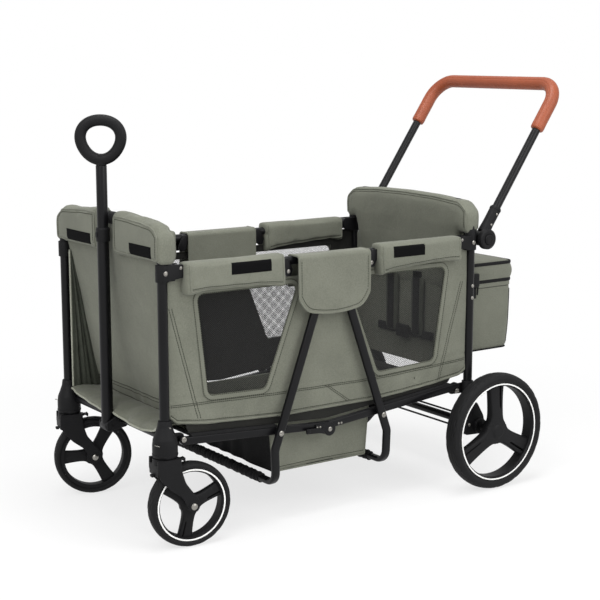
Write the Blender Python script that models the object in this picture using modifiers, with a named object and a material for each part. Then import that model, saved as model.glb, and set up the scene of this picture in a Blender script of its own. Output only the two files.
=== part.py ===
"""Two-seat folding stroller wagon, built as separate named pieces in metres, +Z up.

The front, with the pull handle and the casters, points to -X. The left side is -Y.
The origin is on the floor, below the middle of the overall length and width.
"""

import math

import bmesh
import bpy
import numpy as np
from mathutils import Matrix, Vector

# Overall frame
POST_SPACING = 0.860          # front post axis to rear post axis
POST_GAUGE = 0.470            # left post axis to right post axis
TUBE_D = 0.022                # posts and end arches
ARCH_RISE = 0.082             # axis of the end arches above the top rails' pivots
ARCH_BEND = 0.036             # bend radius at the arch shoulders
FRONT_ARCH_SET_BACK = 0.012   # the front arch passes behind the pull handle

# Wheels
REAR_WHEEL_D = 0.290
REAR_WHEEL_W = 0.045
REAR_TRACK = 0.618            # middle of tyre to middle of tyre
REAR_AXLE_SET_BACK = 0.025    # axle behind the rear post axis
REAR_RIM_R = 0.1215
FRONT_WHEEL_D = 0.190
FRONT_WHEEL_W = 0.036
FRONT_RIM_R = 0.0812
CASTER_TRAIL = 0.055
CASTER_TURN = {"left": math.radians(6.4), "right": math.radians(14.5)}
AXLE_D = 0.018
REAR_STUB_D = 0.010
FRONT_STUB_D = 0.008
STAY_D = 0.005
CROSS_RAIL_D = 0.016

# Side rails and the fold
TOP_RAIL_HEIGHT = 0.607       # the rim of the wagon: pads, brackets and arches follow it
TOP_RAIL_D = 0.020
TOP_PIVOT_INSET = 0.038       # from the post axis
TOP_PIVOT_RISE = 0.011        # pivots at the posts above the rail
TOP_MID_PIVOT_DROP = 0.022    # pivots between the rails below them
TOP_MIDDLE_LENGTH = 0.233     # between the two middle pivots
FLOOR_RAIL_H = 0.017
FLOOR_RAIL_W = 0.014
FLOOR_PIVOT_INSET = 0.042
FLOOR_PIVOT_HEIGHT = 0.241
FLOOR_HINGE_HEIGHT = 0.205    # the pivot in the middle of the floor rails
FRONT_RAIL_END_HEIGHT = 0.236
REAR_RAIL_END_HEIGHT = 0.250
HINGE_DISC_D = 0.032
PIN_D = 0.008

# Inverted-V legs with their U bars below the footwell
LEG_W = 0.020
LEG_T = 0.013
LEG_TOP_SPREAD = 0.021        # half spread of the legs at their tops
LEG_TOP_DROP = 0.039          # below the top rail
LEG_BOLT = (0.146, 0.2205)
LEG_KNEE = (0.160, 0.180)
LEG_FOOT = (0.157, 0.103)
LEG_GAUGE = 0.510
LEG_BEND = 0.028

# Pull handle
PULL_SET_FORWARD = 0.017
PULL_HINGE_HEIGHT = 0.229
PULL_OUTER_D = 0.027
PULL_OUTER_TOP = 0.650
PULL_COLLAR_D = 0.031
PULL_COLLAR_H = 0.031
PULL_INNER_D = 0.0245
PULL_INNER_TOP = 0.818
PULL_RING_W = 0.115
PULL_RING_LIMB_D = 0.026
PULL_RING_TURN = math.radians(34.8)

# Push handle
PUSH_PIVOT_SET_BACK = 0.034
PUSH_PIVOT_DROP = 0.004       # below the top rails' pivots
PUSH_GAUGE = 0.466
PUSH_TUBE_D = 0.021
PUSH_GRIP_D = 0.034
PUSH_RISE = 0.371             # pivot to the top bar's axis, upwards
PUSH_REACH = 0.256            # pivot to the top bar's axis, backwards
PUSH_BEND = 0.060
GRIP_SHARE_END = 0.112        # how far the grip comes down below the top bar

# Soft parts
SIDE_CLOTH_T = 0.003
PAD_RISE = 0.022              # side pads above the rail's axis
PAD_DROP = 0.044              # and below it
PAD_INNER = 0.2190            # lane of the side pads, across
PAD_OUTER = 0.2625
END_PAD_T = 0.042
END_PAD_HALF_W = 0.236
END_PAD_FOOT = 0.014          # end pads above the top rails' pivots
END_PAD_CROWN = 0.022         # and above the arch's axis
END_PAD_GAP = 0.042           # half the gap where the pull handle passes
FOOTWELL_HALF_W = 0.205
FOOTWELL_BOTTOM = 0.113
FLOOR_BOARD_T = 0.006
SEAT_MAT_T = 0.014
BAG_HALF_W = 0.190
BAG_DEPTH = 0.178
BAG_DROP = 0.065              # top of the bag below the push handle's pivot
BAG_H = 0.234
BAG_RIM_DROP = 0.047          # seam of the lid below the bag's top
FRONT_WALL_LEAN = 0.075       # the front cloth's foot is set back from its top
BAG_WALL = 0.005

# Fits
SEAT = 0.0003                 # gap between pieces that touch
RUN = 0.0005                  # gap beside pieces that move
WHEEL_STEPS = {"front": 20, "rear": 26}   # facets round each kind of round piece
HOUSING_STEPS = 14
ROUND_STEPS = 10
PIN_STEPS = 8

# Places that follow from the sizes
HALF = POST_GAUGE / 2
RING_R = (PULL_RING_W - PULL_RING_LIMB_D) / 2
FRONT_REACH = PULL_SET_FORWARD + RING_R * math.cos(PULL_RING_TURN) + PULL_RING_LIMB_D / 2
REAR_REACH = PUSH_PIVOT_SET_BACK + PUSH_REACH + PUSH_GRIP_D / 2
XF = FRONT_REACH - (FRONT_REACH + POST_SPACING + REAR_REACH) / 2
XR = XF + POST_SPACING
XM = (XF + XR) / 2
TUBE_R = TUBE_D / 2
REAR_AXLE = (XR + REAR_AXLE_SET_BACK, REAR_WHEEL_D / 2)
SIDE = {"left": -1, "right": 1}
ENDS = {"front": -1, "rear": 1}
POST_X = {"front": XF, "rear": XR}
TOP_PIVOT_HEIGHT = TOP_RAIL_HEIGHT + TOP_PIVOT_RISE
TOP_MID_PIVOT_HEIGHT = TOP_RAIL_HEIGHT - TOP_MID_PIVOT_DROP
ARCH_HEIGHT = TOP_PIVOT_HEIGHT + ARCH_RISE
PUSH_PIVOT = (XR + PUSH_PIVOT_SET_BACK, TOP_PIVOT_HEIGHT - PUSH_PIVOT_DROP)
LEG_TOP = (LEG_TOP_SPREAD, TOP_RAIL_HEIGHT - LEG_TOP_DROP)
PAD_TOP = TOP_RAIL_HEIGHT + PAD_RISE
PAD_BOTTOM = TOP_RAIL_HEIGHT - PAD_DROP
END_PAD_BOTTOM = TOP_PIVOT_HEIGHT + END_PAD_FOOT
END_PAD_TOP = ARCH_HEIGHT + END_PAD_CROWN
BAG_TOP = PUSH_PIVOT[1] - BAG_DROP
BAG_RIM = BAG_TOP - BAG_RIM_DROP
BAG_BOTTOM = BAG_TOP - BAG_H
HOUSING_SOCKET = 0.255
REAR_POST_FOOT = 0.175
BRACKET_BASE = TOP_PIVOT_HEIGHT - 0.029
BRACKET_TOP = {"front": TOP_PIVOT_HEIGHT + 0.0065, "rear": TOP_PIVOT_HEIGHT + 0.021}
CHEEK_OUT = HALF + 0.0135
CHEEK_IN = HALF - 0.0135
RAIL_SLOT = TOP_RAIL_D / 2 + RUN
EAR_IN = HALF - 0.0255
EAR_OUT = HALF - 0.0165
HUB_CORE_R = 0.0070
BUTTON_R = 0.0125
BUTTON_PRESS = 0.005
HUB_NECK_R = 0.0185
HUB_STEP = HALF + 0.0152
LUG_OUT = HALF - 0.0075
LUG_IN = HALF - 0.0135
FORK_TOP = 0.2075
BRAKE_ROD = (XR + 0.012, 0.1650)
STAY = (XR + 0.012, 0.1300)
BLADE_IN = FRONT_WHEEL_W / 2 + 0.003
BLADE_OUT = BLADE_IN + 0.0065
CROSS_RAIL = (XF + 0.012, 0.2430)
PULL_X = XF - PULL_SET_FORWARD
HUB_OUT = HALF + 0.030
HUB_SLEEVE = (0.0155, 0.088)      # along the handle from the pivot
HUB_SOCKET = 0.038
PUSH_HALF = PUSH_GAUGE / 2
RAIL_OUT = HALF + FLOOR_RAIL_W / 2
RAIL_IN = HALF - FLOOR_RAIL_W / 2
END_HEIGHT = {"front": FRONT_RAIL_END_HEIGHT, "rear": REAR_RAIL_END_HEIGHT}
HINGE_MID = FLOOR_HINGE_HEIGHT + FLOOR_RAIL_H / 2
HINGE_PIN_R = 0.0045
FOOTWELL_TOP_HALF = 0.1435
MAT_HALF_W = HALF - SIDE_CLOTH_T / 2 - 0.004
MID_PIVOT = {"front": XM - TOP_MIDDLE_LENGTH / 2, "rear": XM + TOP_MIDDLE_LENGTH / 2}
RAIL_R = TOP_RAIL_D / 2
KNUCKLE_R = 0.012
FLAP_HALF = 0.100
FLAP_OUT = 0.2675
FLAP_IN = 0.2165
FLAP_T = 0.0040
FLAP_TIP = TOP_RAIL_HEIGHT - 0.125
FLAP_SIDE = TOP_RAIL_HEIGHT - 0.083
PANEL_TOP = BRACKET_BASE - 0.0015
WINDOW_TOP = PANEL_TOP - 0.0315
WINDOWS = {
    "front": [(-0.349, WINDOW_TOP), (-0.323, 0.327), (-0.172, 0.322), (-0.082, WINDOW_TOP)],
    "rear": [(0.050, WINDOW_TOP), (0.144, 0.319), (0.316, 0.326), (0.351, WINDOW_TOP)],
}
WALL_HALF = HALF - 0.0148
HOUSING_R = 0.0278
HOUSING_TOP = 0.288
WALL_TOP = END_PAD_BOTTOM - SEAT
FRONT_HEM = 0.263
HARNESS_SPREAD = 0.052
BAG_FRONT = XR + 0.006 + SEAT

PARTS = bpy.data.collections.new("stroller_wagon")
CUTTERS = bpy.data.collections.new("cutters")


def start():
    """Empty the scene and link the two collections."""
    for old in list(bpy.data.objects):
        bpy.data.objects.remove(old, do_unlink=True)
    bpy.context.scene.collection.children.link(PARTS)
    bpy.context.scene.collection.children.link(CUTTERS)


# Materials

def finish(name, colour, roughness, metallic=0.0):
    """A Principled material with one colour."""
    material = bpy.data.materials.new(name)
    material.use_nodes = True
    shader = material.node_tree.nodes["Principled BSDF"]
    shader.inputs["Base Color"].default_value = (*colour, 1.0)
    shader.inputs["Roughness"].default_value = roughness
    shader.inputs["Metallic"].default_value = metallic
    material.diffuse_color = (*colour, 1.0)
    return material


FRAME_BLACK = finish("powder_coat_black", (0.018, 0.018, 0.020), 0.45, 0.3)
MOULDED_BLACK = finish("moulded_nylon_black", (0.022, 0.022, 0.024), 0.55)
RUBBER = finish("tyre_rubber", (0.020, 0.020, 0.020), 0.75)
SAGE = finish("sage_canvas", (0.225, 0.235, 0.195), 0.85)
DARK_LINING = finish("dark_lining", (0.030, 0.030, 0.028), 0.90)
MESH_BLACK = finish("window_net", (0.025, 0.025, 0.022), 0.85)
LEATHER = finish("tan_leather", (0.420, 0.110, 0.045), 0.50)
BOARD = finish("floor_board", (0.030, 0.030, 0.030), 0.80)


# Shapes. Each returns an object whose mesh is in world coordinates.

def baked(obj):
    """Replace an object by its evaluated mesh, in world coordinates, with caps welded."""
    graph = bpy.context.evaluated_depsgraph_get()
    graph.update()
    mesh = bpy.data.meshes.new_from_object(obj.evaluated_get(graph), depsgraph=graph)
    mesh.transform(obj.matrix_world)
    bm = bmesh.new()
    bm.from_mesh(mesh)
    bmesh.ops.remove_doubles(bm, verts=bm.verts, dist=0.00002)
    bmesh.ops.recalc_face_normals(bm, faces=bm.faces)
    bm.to_mesh(mesh)
    bm.free()
    fresh = bpy.data.objects.new(obj.name + "_solid", mesh)
    CUTTERS.objects.link(fresh)
    bpy.data.objects.remove(obj, do_unlink=True)
    return fresh


def placed(obj, matrix=None):
    """Link a new object to the cutters, place it and bake it."""
    CUTTERS.objects.link(obj)
    if matrix is not None:
        obj.matrix_world = matrix
    bpy.context.view_layer.update()
    return baked(obj)


def box(low, high, rounding=0.0, segments=2):
    """A box between two corners, its edges rounded."""
    low, high = Vector(low), Vector(high)
    bm = bmesh.new()
    bmesh.ops.create_cube(bm, size=1.0)
    size = high - low
    bmesh.ops.scale(bm, vec=size, verts=bm.verts)
    bmesh.ops.translate(bm, vec=(low + high) / 2, verts=bm.verts)
    mesh = bpy.data.meshes.new("box")
    bm.to_mesh(mesh)
    bm.free()
    obj = bpy.data.objects.new("box", mesh)
    if rounding:
        bevel = obj.modifiers.new("rounding", "BEVEL")
        bevel.width = rounding
        bevel.segments = segments
    return placed(obj)


AXIS_TURN = {
    "X": Matrix.Rotation(math.pi / 2, 4, "Y"),
    "Y": Matrix.Rotation(-math.pi / 2, 4, "X"),
    "Z": Matrix.Identity(4),
}


def turned(profile, centre, axis="Z", steps=HOUSING_STEPS, closed=False):
    """A profile of (radius, height) points turned about an axis; it runs down its outer side."""
    mesh = bpy.data.meshes.new("profile")
    count = len(profile)
    edges = [(i, i + 1) for i in range(count - 1)] + ([(count - 1, 0)] if closed else [])
    mesh.from_pydata([(r, 0, h) for r, h in profile], edges, [])
    obj = bpy.data.objects.new("turned", mesh)
    screw = obj.modifiers.new("turn", "SCREW")
    screw.steps = screw.render_steps = steps
    screw.use_merge_vertices = True
    screw.merge_threshold = 0.00005
    return placed(obj, Matrix.Translation(centre) @ AXIS_TURN[axis])


def cylinder(radius, start, end, axis, centre, steps=ROUND_STEPS):
    """A round bar along an axis from start to end; centre gives the other two coordinates."""
    return turned([(0, end), (radius, end), (radius, start), (0, start)], centre, axis, steps)


def bore(radius, steps=ROUND_STEPS, gap=SEAT):
    """Radius of a faceted hole whose flats clear a round bar by the gap."""
    return (radius + gap) / math.cos(math.pi / steps)


def arc(centre, radius, first, last, steps):
    """Points on an arc, angles in degrees."""
    turn = np.radians(np.linspace(first, last, steps + 1))
    return [(centre[0] + radius * math.cos(t), centre[1] + radius * math.sin(t)) for t in turn]


def softened(corners, radius, steps=3, closed=True):
    """Corner points with each corner replaced by a round of the given radius."""
    points = []
    count = len(corners)
    for i, corner in enumerate(corners):
        here = Vector(corner)
        if not closed and i in (0, count - 1):
            points.append(here)
            continue
        back = Vector(corners[i - 1]) - here
        ahead = Vector(corners[(i + 1) % count]) - here
        half = back.angle(ahead) / 2
        reach = min(radius / math.tan(half), 0.45 * back.length, 0.45 * ahead.length)
        bend = reach * math.tan(half)
        centre = here + (back.normalized() + ahead.normalized()).normalized() * bend / math.sin(half)
        first = here + back.normalized() * reach - centre
        last = here + ahead.normalized() * reach - centre
        for step in range(steps + 1):
            points.append(centre + first.slerp(last, step / steps, first) if len(here) == 3
                          else centre + swing(first, last, step / steps))
    return points


def swing(first, last, share):
    """A 2D direction between two others of one length."""
    turn = first.angle_signed(last)
    return Matrix.Rotation(-turn * share, 2) @ first


def bent(corners, radius, steps=4):
    """An open route in space whose inner corners are bends."""
    points = []
    for i, corner in enumerate(corners):
        here = Vector(corner)
        if i in (0, len(corners) - 1):
            points.append(here)
            continue
        back = Vector(corners[i - 1]) - here
        ahead = Vector(corners[i + 1]) - here
        half = back.angle(ahead) / 2
        reach = radius / math.tan(half)
        centre = here + (back.normalized() + ahead.normalized()).normalized() * radius / math.sin(half)
        first = here + back.normalized() * reach - centre
        last = here + ahead.normalized() * reach - centre
        turn = first.angle(last)
        for step in range(steps + 1):
            share = step / steps
            points.append(centre + (first * math.sin((1 - share) * turn)
                                    + last * math.sin(share * turn)) / math.sin(turn))
    return points


def tube(points, radius, fineness=4, closed=False, section=None, tilt=0.0):
    """A round tube, or one of a given section, along a route with filled ends."""
    curve = bpy.data.curves.new("route", "CURVE")
    curve.dimensions = "3D"
    curve.twist_mode = "MINIMUM"
    spline = curve.splines.new("POLY")
    spline.points.add(len(points) - 1)
    for point, place in zip(spline.points, points):
        point.co = (*place, 1.0)
        point.tilt = tilt
    spline.use_cyclic_u = closed
    curve.use_fill_caps = True
    if section is None:
        curve.bevel_depth = radius
        curve.bevel_resolution = fineness
    else:
        curve.bevel_mode = "OBJECT"
        curve.bevel_object = section
    return placed(bpy.data.objects.new("tube", curve))


PLANE_TURN = {
    "XZ": Matrix.Rotation(math.pi / 2, 4, "X"),
    "YZ": Matrix(((0, 0, 1, 0), (1, 0, 0, 0), (0, 1, 0, 0), (0, 0, 0, 1))),
    "XY": Matrix.Identity(4),
}
PLANE_NORMAL = {"XZ": Vector((0, 1, 0)), "YZ": Vector((1, 0, 0)), "XY": Vector((0, 0, 1))}


def plate(outline, low, high, plane="XZ", holes=(), edge=0.0, edge_steps=1):
    """A flat outline, with holes, as a plate from low to high along the plane's normal."""
    curve = bpy.data.curves.new("outline", "CURVE")
    curve.dimensions = "2D"
    curve.fill_mode = "BOTH"
    for loop in (outline, *holes):
        spline = curve.splines.new("POLY")
        spline.points.add(len(loop) - 1)
        for point, place in zip(spline.points, loop):
            point.co = (place[0], place[1], 0.0, 1.0)
        spline.use_cyclic_u = True
    curve.extrude = (high - low) / 2 - edge
    if edge:
        curve.bevel_depth = edge
        curve.bevel_resolution = edge_steps
        curve.offset = -edge
    middle = PLANE_NORMAL[plane] * (low + high) / 2
    return placed(bpy.data.objects.new("plate", curve), Matrix.Translation(middle) @ PLANE_TURN[plane])


def circle(centre, radius, steps=ROUND_STEPS):
    """A closed round outline."""
    return arc(centre, radius, 0, 360, steps)[:-1]


def combined(base, others, operation):
    """Join or cut solids one after the other with exact Booleans."""
    for other in others:
        modifier = base.modifiers.new(operation.lower(), "BOOLEAN")
        modifier.operation = operation
        modifier.solver = "EXACT"
        modifier.object = other
        other.hide_render = True
        other.display_type = "WIRE"
        bpy.context.view_layer.update()
        base = baked(base)
        bpy.data.objects.remove(other, do_unlink=True)
    return base


def joined(base, *others):
    return combined(base, others, "UNION")


def cut(base, *others):
    return combined(base, others, "DIFFERENCE")


def common(base, *others):
    return combined(base, others, "INTERSECT")


def mirrored(obj):
    """A copy of a solid on the other side of the middle plane Y = 0."""
    mesh = obj.data.copy()
    mesh.transform(Matrix.Scale(-1, 4, (0, 1, 0)))
    mesh.flip_normals()
    twin = bpy.data.objects.new(obj.name + "_twin", mesh)
    CUTTERS.objects.link(twin)
    return twin


def both_sides(obj):
    return [obj, mirrored(obj)]


AXES = {}


def joint_axis(name, place, parent=None):
    """An empty on a joint's axis, which carries the pieces that turn or slide there."""
    empty = bpy.data.objects.new(name, None)
    empty.empty_display_size = 0.04
    PARTS.objects.link(empty)
    empty.location = place
    bpy.context.view_layer.update()
    if parent:
        empty.parent = AXES[parent]
        empty.matrix_parent_inverse = AXES[parent].matrix_world.inverted()
    AXES[name] = empty
    bpy.context.view_layer.update()


def node(name, material, solids, axis=None, smooth=35):
    """One named piece made of one or more solids, carried by its joint's axis."""
    bm = bmesh.new()
    for solid in solids:
        bm.from_mesh(solid.data)
        bpy.data.objects.remove(solid, do_unlink=True)
    bmesh.ops.dissolve_limit(bm, angle_limit=math.radians(0.3), verts=bm.verts, edges=bm.edges)
    bmesh.ops.triangulate(bm, faces=[f for f in bm.faces if len(f.verts) > 4])
    mesh = bpy.data.meshes.new(name)
    bm.to_mesh(mesh)
    bm.free()
    mesh.materials.append(material)
    mesh.shade_smooth()
    mesh.set_sharp_from_angle(angle=math.radians(smooth))
    piece = bpy.data.objects.new(name, mesh)
    PARTS.objects.link(piece)
    if axis:
        origin = AXES[axis].matrix_world.translation
        mesh.transform(Matrix.Translation(-origin))
        piece.parent = AXES[axis]
    return piece


# End frames: each is one bent tube, two posts with an arch over them

def end_route(end, lowest):
    """Axis of an end frame, from the left post's foot over the arch to the right one."""
    x = POST_X[end]
    back = x + (FRONT_ARCH_SET_BACK if end == "front" else 0.0)
    shoulder = ARCH_HEIGHT - 0.042
    tuck = HALF - 0.028
    return bent([(x, -HALF, lowest), (x, -HALF, shoulder), (back, -tuck, ARCH_HEIGHT),
                 (back, tuck, ARCH_HEIGHT), (x, HALF, shoulder), (x, HALF, lowest)],
                ARCH_BEND, 3)


def end_frames():
    """Each end frame with its two top brackets, and at the rear the push handle's ears."""
    front = tube(end_route("front", HOUSING_SOCKET + SEAT), TUBE_R, 3)
    node("front_frame_tube", FRAME_BLACK, [joined(front, *both_sides(top_bracket("front")))],
         "front_frame_axis")
    rear = tube(end_route("rear", REAR_POST_FOOT + SEAT), TUBE_R, 3)
    brackets = [*both_sides(top_bracket("rear")), *both_sides(rear_handle_ear())]
    node("rear_frame_tube", FRAME_BLACK, [joined(rear, *brackets)])


# Top brackets: a clamp round the post with a fork that holds the side rail's pin

def top_bracket(end):
    """The left bracket of an end, solid where the post passes through it."""
    x, inward = POST_X[end], -ENDS[end]
    pivot = x + inward * TOP_PIVOT_INSET
    low, high = sorted((x, pivot))
    body = plate([(low, BRACKET_BASE), (high, BRACKET_BASE), (high, TOP_PIVOT_HEIGHT + 0.0065),
                  (low, TOP_PIVOT_HEIGHT + 0.0065)], -CHEEK_OUT, -CHEEK_IN)
    nose = plate(circle((pivot, TOP_PIVOT_HEIGHT - 0.0035), 0.010), -CHEEK_OUT + 0.00005, -CHEEK_IN - 0.00005)
    clamp = cylinder(TUBE_R + 0.0035, BRACKET_BASE - 0.0010, BRACKET_TOP[end], "Z", (x, -HALF, 0), HOUSING_STEPS)
    slot_x = sorted((x + inward * (TOP_PIVOT_INSET - 0.0135), pivot + inward * 0.02))
    slot = box((slot_x[0], -HALF - RAIL_SLOT, BRACKET_BASE - 0.01),
               (slot_x[1], -HALF + RAIL_SLOT, TOP_PIVOT_HEIGHT + 0.02))
    bracket = cut(joined(body, nose, clamp), slot)
    pin = cylinder(PIN_D / 2, -CHEEK_OUT + 0.001, -CHEEK_IN - 0.001, "Y",
                   (pivot, 0, TOP_PIVOT_HEIGHT), PIN_STEPS)
    return joined(bracket, pin)


def rear_handle_ear():
    """The left ear behind the rear post that carries the push handle's hub on a core."""
    x, z = PUSH_PIVOT
    top = END_PAD_BOTTOM - 2 * SEAT
    ear = plate(softened([(XR - 0.012, z - 0.025), (x + 0.004, z - 0.025), (x + 0.021, z - 0.012),
                          (x + 0.021, z + 0.010), (x + 0.010, top), (XR - 0.012, top)], 0.008, 1),
                -EAR_OUT, -EAR_IN)
    root = box((XR - 0.0115, -HALF + 0.010, z - 0.0248), (XR + 0.0125, -EAR_IN - 0.0002, top - 0.0002))
    core = cylinder(HUB_CORE_R, -EAR_OUT - 0.024, -EAR_IN - 0.001, "Y", (x, 0, z))
    return joined(ear, root, core)


# Lower housings: a flared moulding over each front post's foot, with the floor rail's lug

def rail_lug(end):
    """The left lug beside a post that carries the floor rail's pin and its rivet head."""
    x, inward = POST_X[end], -ENDS[end]
    pivot = x + inward * FLOOR_PIVOT_INSET
    z = FLOOR_PIVOT_HEIGHT
    start = x + inward * 0.004
    corners = [(start, z - 0.013), (pivot, z - 0.011), (pivot, z + 0.011), (start, z + 0.013)]
    lug = plate(corners if inward > 0 else corners[::-1], -LUG_OUT, -LUG_IN)
    nose = plate(circle((pivot, z), 0.011), -LUG_OUT + 0.00005, -LUG_IN - 0.00005)
    rail_face = HALF + FLOOR_RAIL_W / 2
    pin = cylinder(PIN_D / 2, -rail_face - 0.001, -LUG_IN - 0.001, "Y", (pivot, 0, z), PIN_STEPS)
    head = cylinder(0.0065, -rail_face - 0.0028, -rail_face - SEAT, "Y", (pivot, 0, z), PIN_STEPS)
    return joined(lug, nose, pin, head)


def front_housing():
    top, flare, wide = HOUSING_TOP, 0.0145, HOUSING_R
    socket = bore(TUBE_R, HOUSING_STEPS)
    profile = [(0, HOUSING_SOCKET), (socket, HOUSING_SOCKET), (socket, top), (flare, top),
               (flare + 0.0018, top - 0.014), (wide - 0.006, top - 0.030), (wide, top - 0.046),
               (wide, FORK_TOP + SEAT), (0, FORK_TOP + SEAT)]
    return joined(turned(profile, (XF, -HALF, 0)), rail_lug("front"))


def axle_housing():
    """The left moulding that joins the rear post's foot, the floor rail's lug and the axle."""
    x, z = REAR_AXLE
    body = plate(softened([(XR - 0.017, 0.205), (XR - 0.020, z - 0.020), (x + 0.012, z - 0.022),
                           (x + 0.020, z), (x + 0.014, z + 0.026), (XR + 0.017, 0.205)], 0.008, 1),
                 -HALF - 0.020, -HALF + 0.020)
    sleeve = cylinder(TUBE_R + 0.0035, 0.190, FLOOR_PIVOT_HEIGHT + 0.020, "Z", (XR, -HALF, 0), HOUSING_STEPS)
    socket = cylinder(bore(TUBE_R), REAR_POST_FOOT, 0.27, "Z", (XR, -HALF, 0))
    axle_bore = cylinder(bore(AXLE_D / 2), -0.30, 0.10, "Y", (x, 0, z))
    rod_bore = cylinder(bore(STAY_D / 2, PIN_STEPS), -0.30, 0.10, "Y", (BRAKE_ROD[0], 0, BRAKE_ROD[1]), PIN_STEPS)
    return cut(joined(body, sleeve, rail_lug("rear")), socket, axle_bore, rod_bore)


def lower_housings():
    """Front: both mouldings and their cross rail. Rear: both mouldings and their stay rod."""
    x, z = CROSS_RAIL
    rail = cylinder(CROSS_RAIL_D / 2, -HALF + 0.012, HALF - 0.012, "Y", (x, 0, z))
    left, right = both_sides(front_housing())
    node("front_lower_housings", MOULDED_BLACK, [joined(rail, left, right)], "front_frame_axis")
    stay = cylinder(STAY_D / 2, -HALF + 0.014, HALF - 0.014, "Y", (STAY[0], 0, STAY[1]), PIN_STEPS)
    left, right = both_sides(axle_housing())
    node("rear_lower_housings", MOULDED_BLACK, [joined(stay, left, right)])


# Rear axle with its stay rod, and the brake bar that turns above it

def rear_axle():
    x, z = REAR_AXLE
    inner, outer = REAR_TRACK / 2 - REAR_WHEEL_W / 2, REAR_TRACK / 2 + REAR_WHEEL_W / 2
    bar = cylinder(AXLE_D / 2, -inner + 0.006, inner - 0.006, "Y", (x, 0, z))
    stub = cylinder(REAR_STUB_D / 2, -outer + 0.006, outer - 0.006, "Y", (x, 0, z), PIN_STEPS)
    node("rear_axle", FRAME_BLACK, [joined(bar, stub)])


def brake_bar():
    """A thin rod through both housings with a foot pedal on the right."""
    x, z = BRAKE_ROD
    rod = cylinder(STAY_D / 2, -HALF + 0.014, HALF - 0.014, "Y", (x, 0, z), PIN_STEPS)
    eye = cylinder(0.008, 0.150, 0.168, "Y", (x, 0, z))
    arm = plate(softened([(x - 0.006, z + 0.004), (x - 0.052, z - 0.012), (x - 0.056, z - 0.022),
                          (x - 0.046, z - 0.022), (x + 0.002, z - 0.006)], 0.003, 1), 0.153, 0.165)
    tread = box((x - 0.066, 0.132, z - 0.0205), (x - 0.044, 0.186, z - 0.0125), 0.003, 1)
    node("brake_bar", MOULDED_BLACK, [joined(rod, eye, arm, tread)], "brake_axis")


# Wheels: a tyre, a deep rim with three broad grooved spokes, and a cap

def tyre_profile(radius, width, rim):
    """Closed section of a tyre: a crowned tread, round shoulders and a seat on the rim."""
    half = width / 2
    wall = radius - rim
    outer = [(rim + SEAT, half * 0.80), (rim + wall * 0.45, half), (radius - wall * 0.14, half * 0.74),
             (radius, half * 0.28)]
    lower = [(r, -h) for r, h in reversed(outer)]
    return outer + lower


def spoke_window(hub, rim, narrow, wide, first):
    """One opening between two spokes that widen towards the rim, corners rounded."""
    radii = np.linspace(hub, rim, 3)
    halves = narrow + (wide - narrow) * ((radii - hub) / (rim - hub)) ** 2
    turns = np.degrees(np.arcsin(halves / radii))
    edge = list(zip(radii, first + turns))
    edge += [(rim, t) for t in np.linspace(first + turns[-1], first + 120 - turns[-1], 4)[1:-1]]
    edge += list(zip(radii[::-1], first + 120 - turns[::-1]))
    inner = np.linspace(first + 120 - turns[0], first + turns[0], 3)[1:-1]
    edge += [(hub, t) for t in inner]
    return [(r * math.cos(math.radians(t)), r * math.sin(math.radians(t))) for r, t in edge]


def wheel(side, end, centre, radius, width, rim, hub_r, first_spoke, turn):
    """Tyre and rim of one wheel, its axle along Y before it is turned about Z."""
    seat = width / 2 * 0.80
    steps = WHEEL_STEPS[end]
    tyre = turned(tyre_profile(radius, width, rim), (0, 0, 0), "Y", steps, closed=True)
    band = turned([(rim - 0.008, seat), (rim, seat), (rim, -seat), (rim - 0.008, -seat)],
                  (0, 0, 0), "Y", steps, closed=True)
    disc = circle((0, 0), rim - 0.005, steps)
    windows = [spoke_window(hub_r * 1.25, rim - 0.011, hub_r * 0.52, hub_r * 0.95,
                            first_spoke + 120 * i)[::-1] for i in range(3)]
    web = plate(disc, -width * 0.20, width * 0.20, holes=windows)
    outer = -1 if side == "left" else 1
    cap = width * 0.42 + (0.006 if end == "rear" else 0.0)
    hub = turned([(0, cap), (hub_r * 0.72, cap - 0.0025), (hub_r, width * 0.36), (hub_r, -width * 0.42),
                  (0, -width * 0.42)], (0, 0, 0), "Y")
    if outer < 0:
        hub.data.transform(Matrix.Rotation(math.pi, 4, "Z"))
    body = joined(band, web, hub)
    grooves = []
    for i in range(3):
        groove = box((hub_r * 1.25, -0.0012, -0.004), (rim - 0.014, 0.0012, 0.004))
        face = Matrix.Translation((0, outer * width * 0.20, 0)) @ Matrix.Rotation(math.pi / 2, 4, "X")
        spin = Matrix.Rotation(-math.radians(first_spoke + 120 * i), 4, "Y")
        groove.data.transform(spin @ face)
        grooves.append(groove)
    stub = (REAR_STUB_D if end == "rear" else FRONT_STUB_D) / 2
    far = width if end == "front" else width / 2 - 0.0055
    hole = cylinder(bore(stub, PIN_STEPS), *sorted((-outer * width, outer * far)), "Y", (0, 0, 0), PIN_STEPS)
    body = cut(body, hole, *grooves)
    place = Matrix.Translation(centre) @ Matrix.Rotation(turn, 4, "Z")
    for solid in (tyre, body):
        solid.data.transform(place)
    axis = f"{side}_{end}_wheel_axis"
    node(f"{side}_{end}_tyre", RUBBER, [tyre], axis)
    node(f"{side}_{end}_rim", MOULDED_BLACK, [body], axis)


def rear_wheels():
    x, z = REAR_AXLE
    for side, sign in SIDE.items():
        y = sign * REAR_TRACK / 2
        joint_axis(f"{side}_rear_wheel_axis", (x, y, z))
        wheel(side, "rear", (x, y, z), REAR_WHEEL_D / 2, REAR_WHEEL_W, REAR_RIM_R, 0.026, 90, 0.0)


# Casters: a moulded fork that swivels under the housing, a wheel and a lock tab

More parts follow.
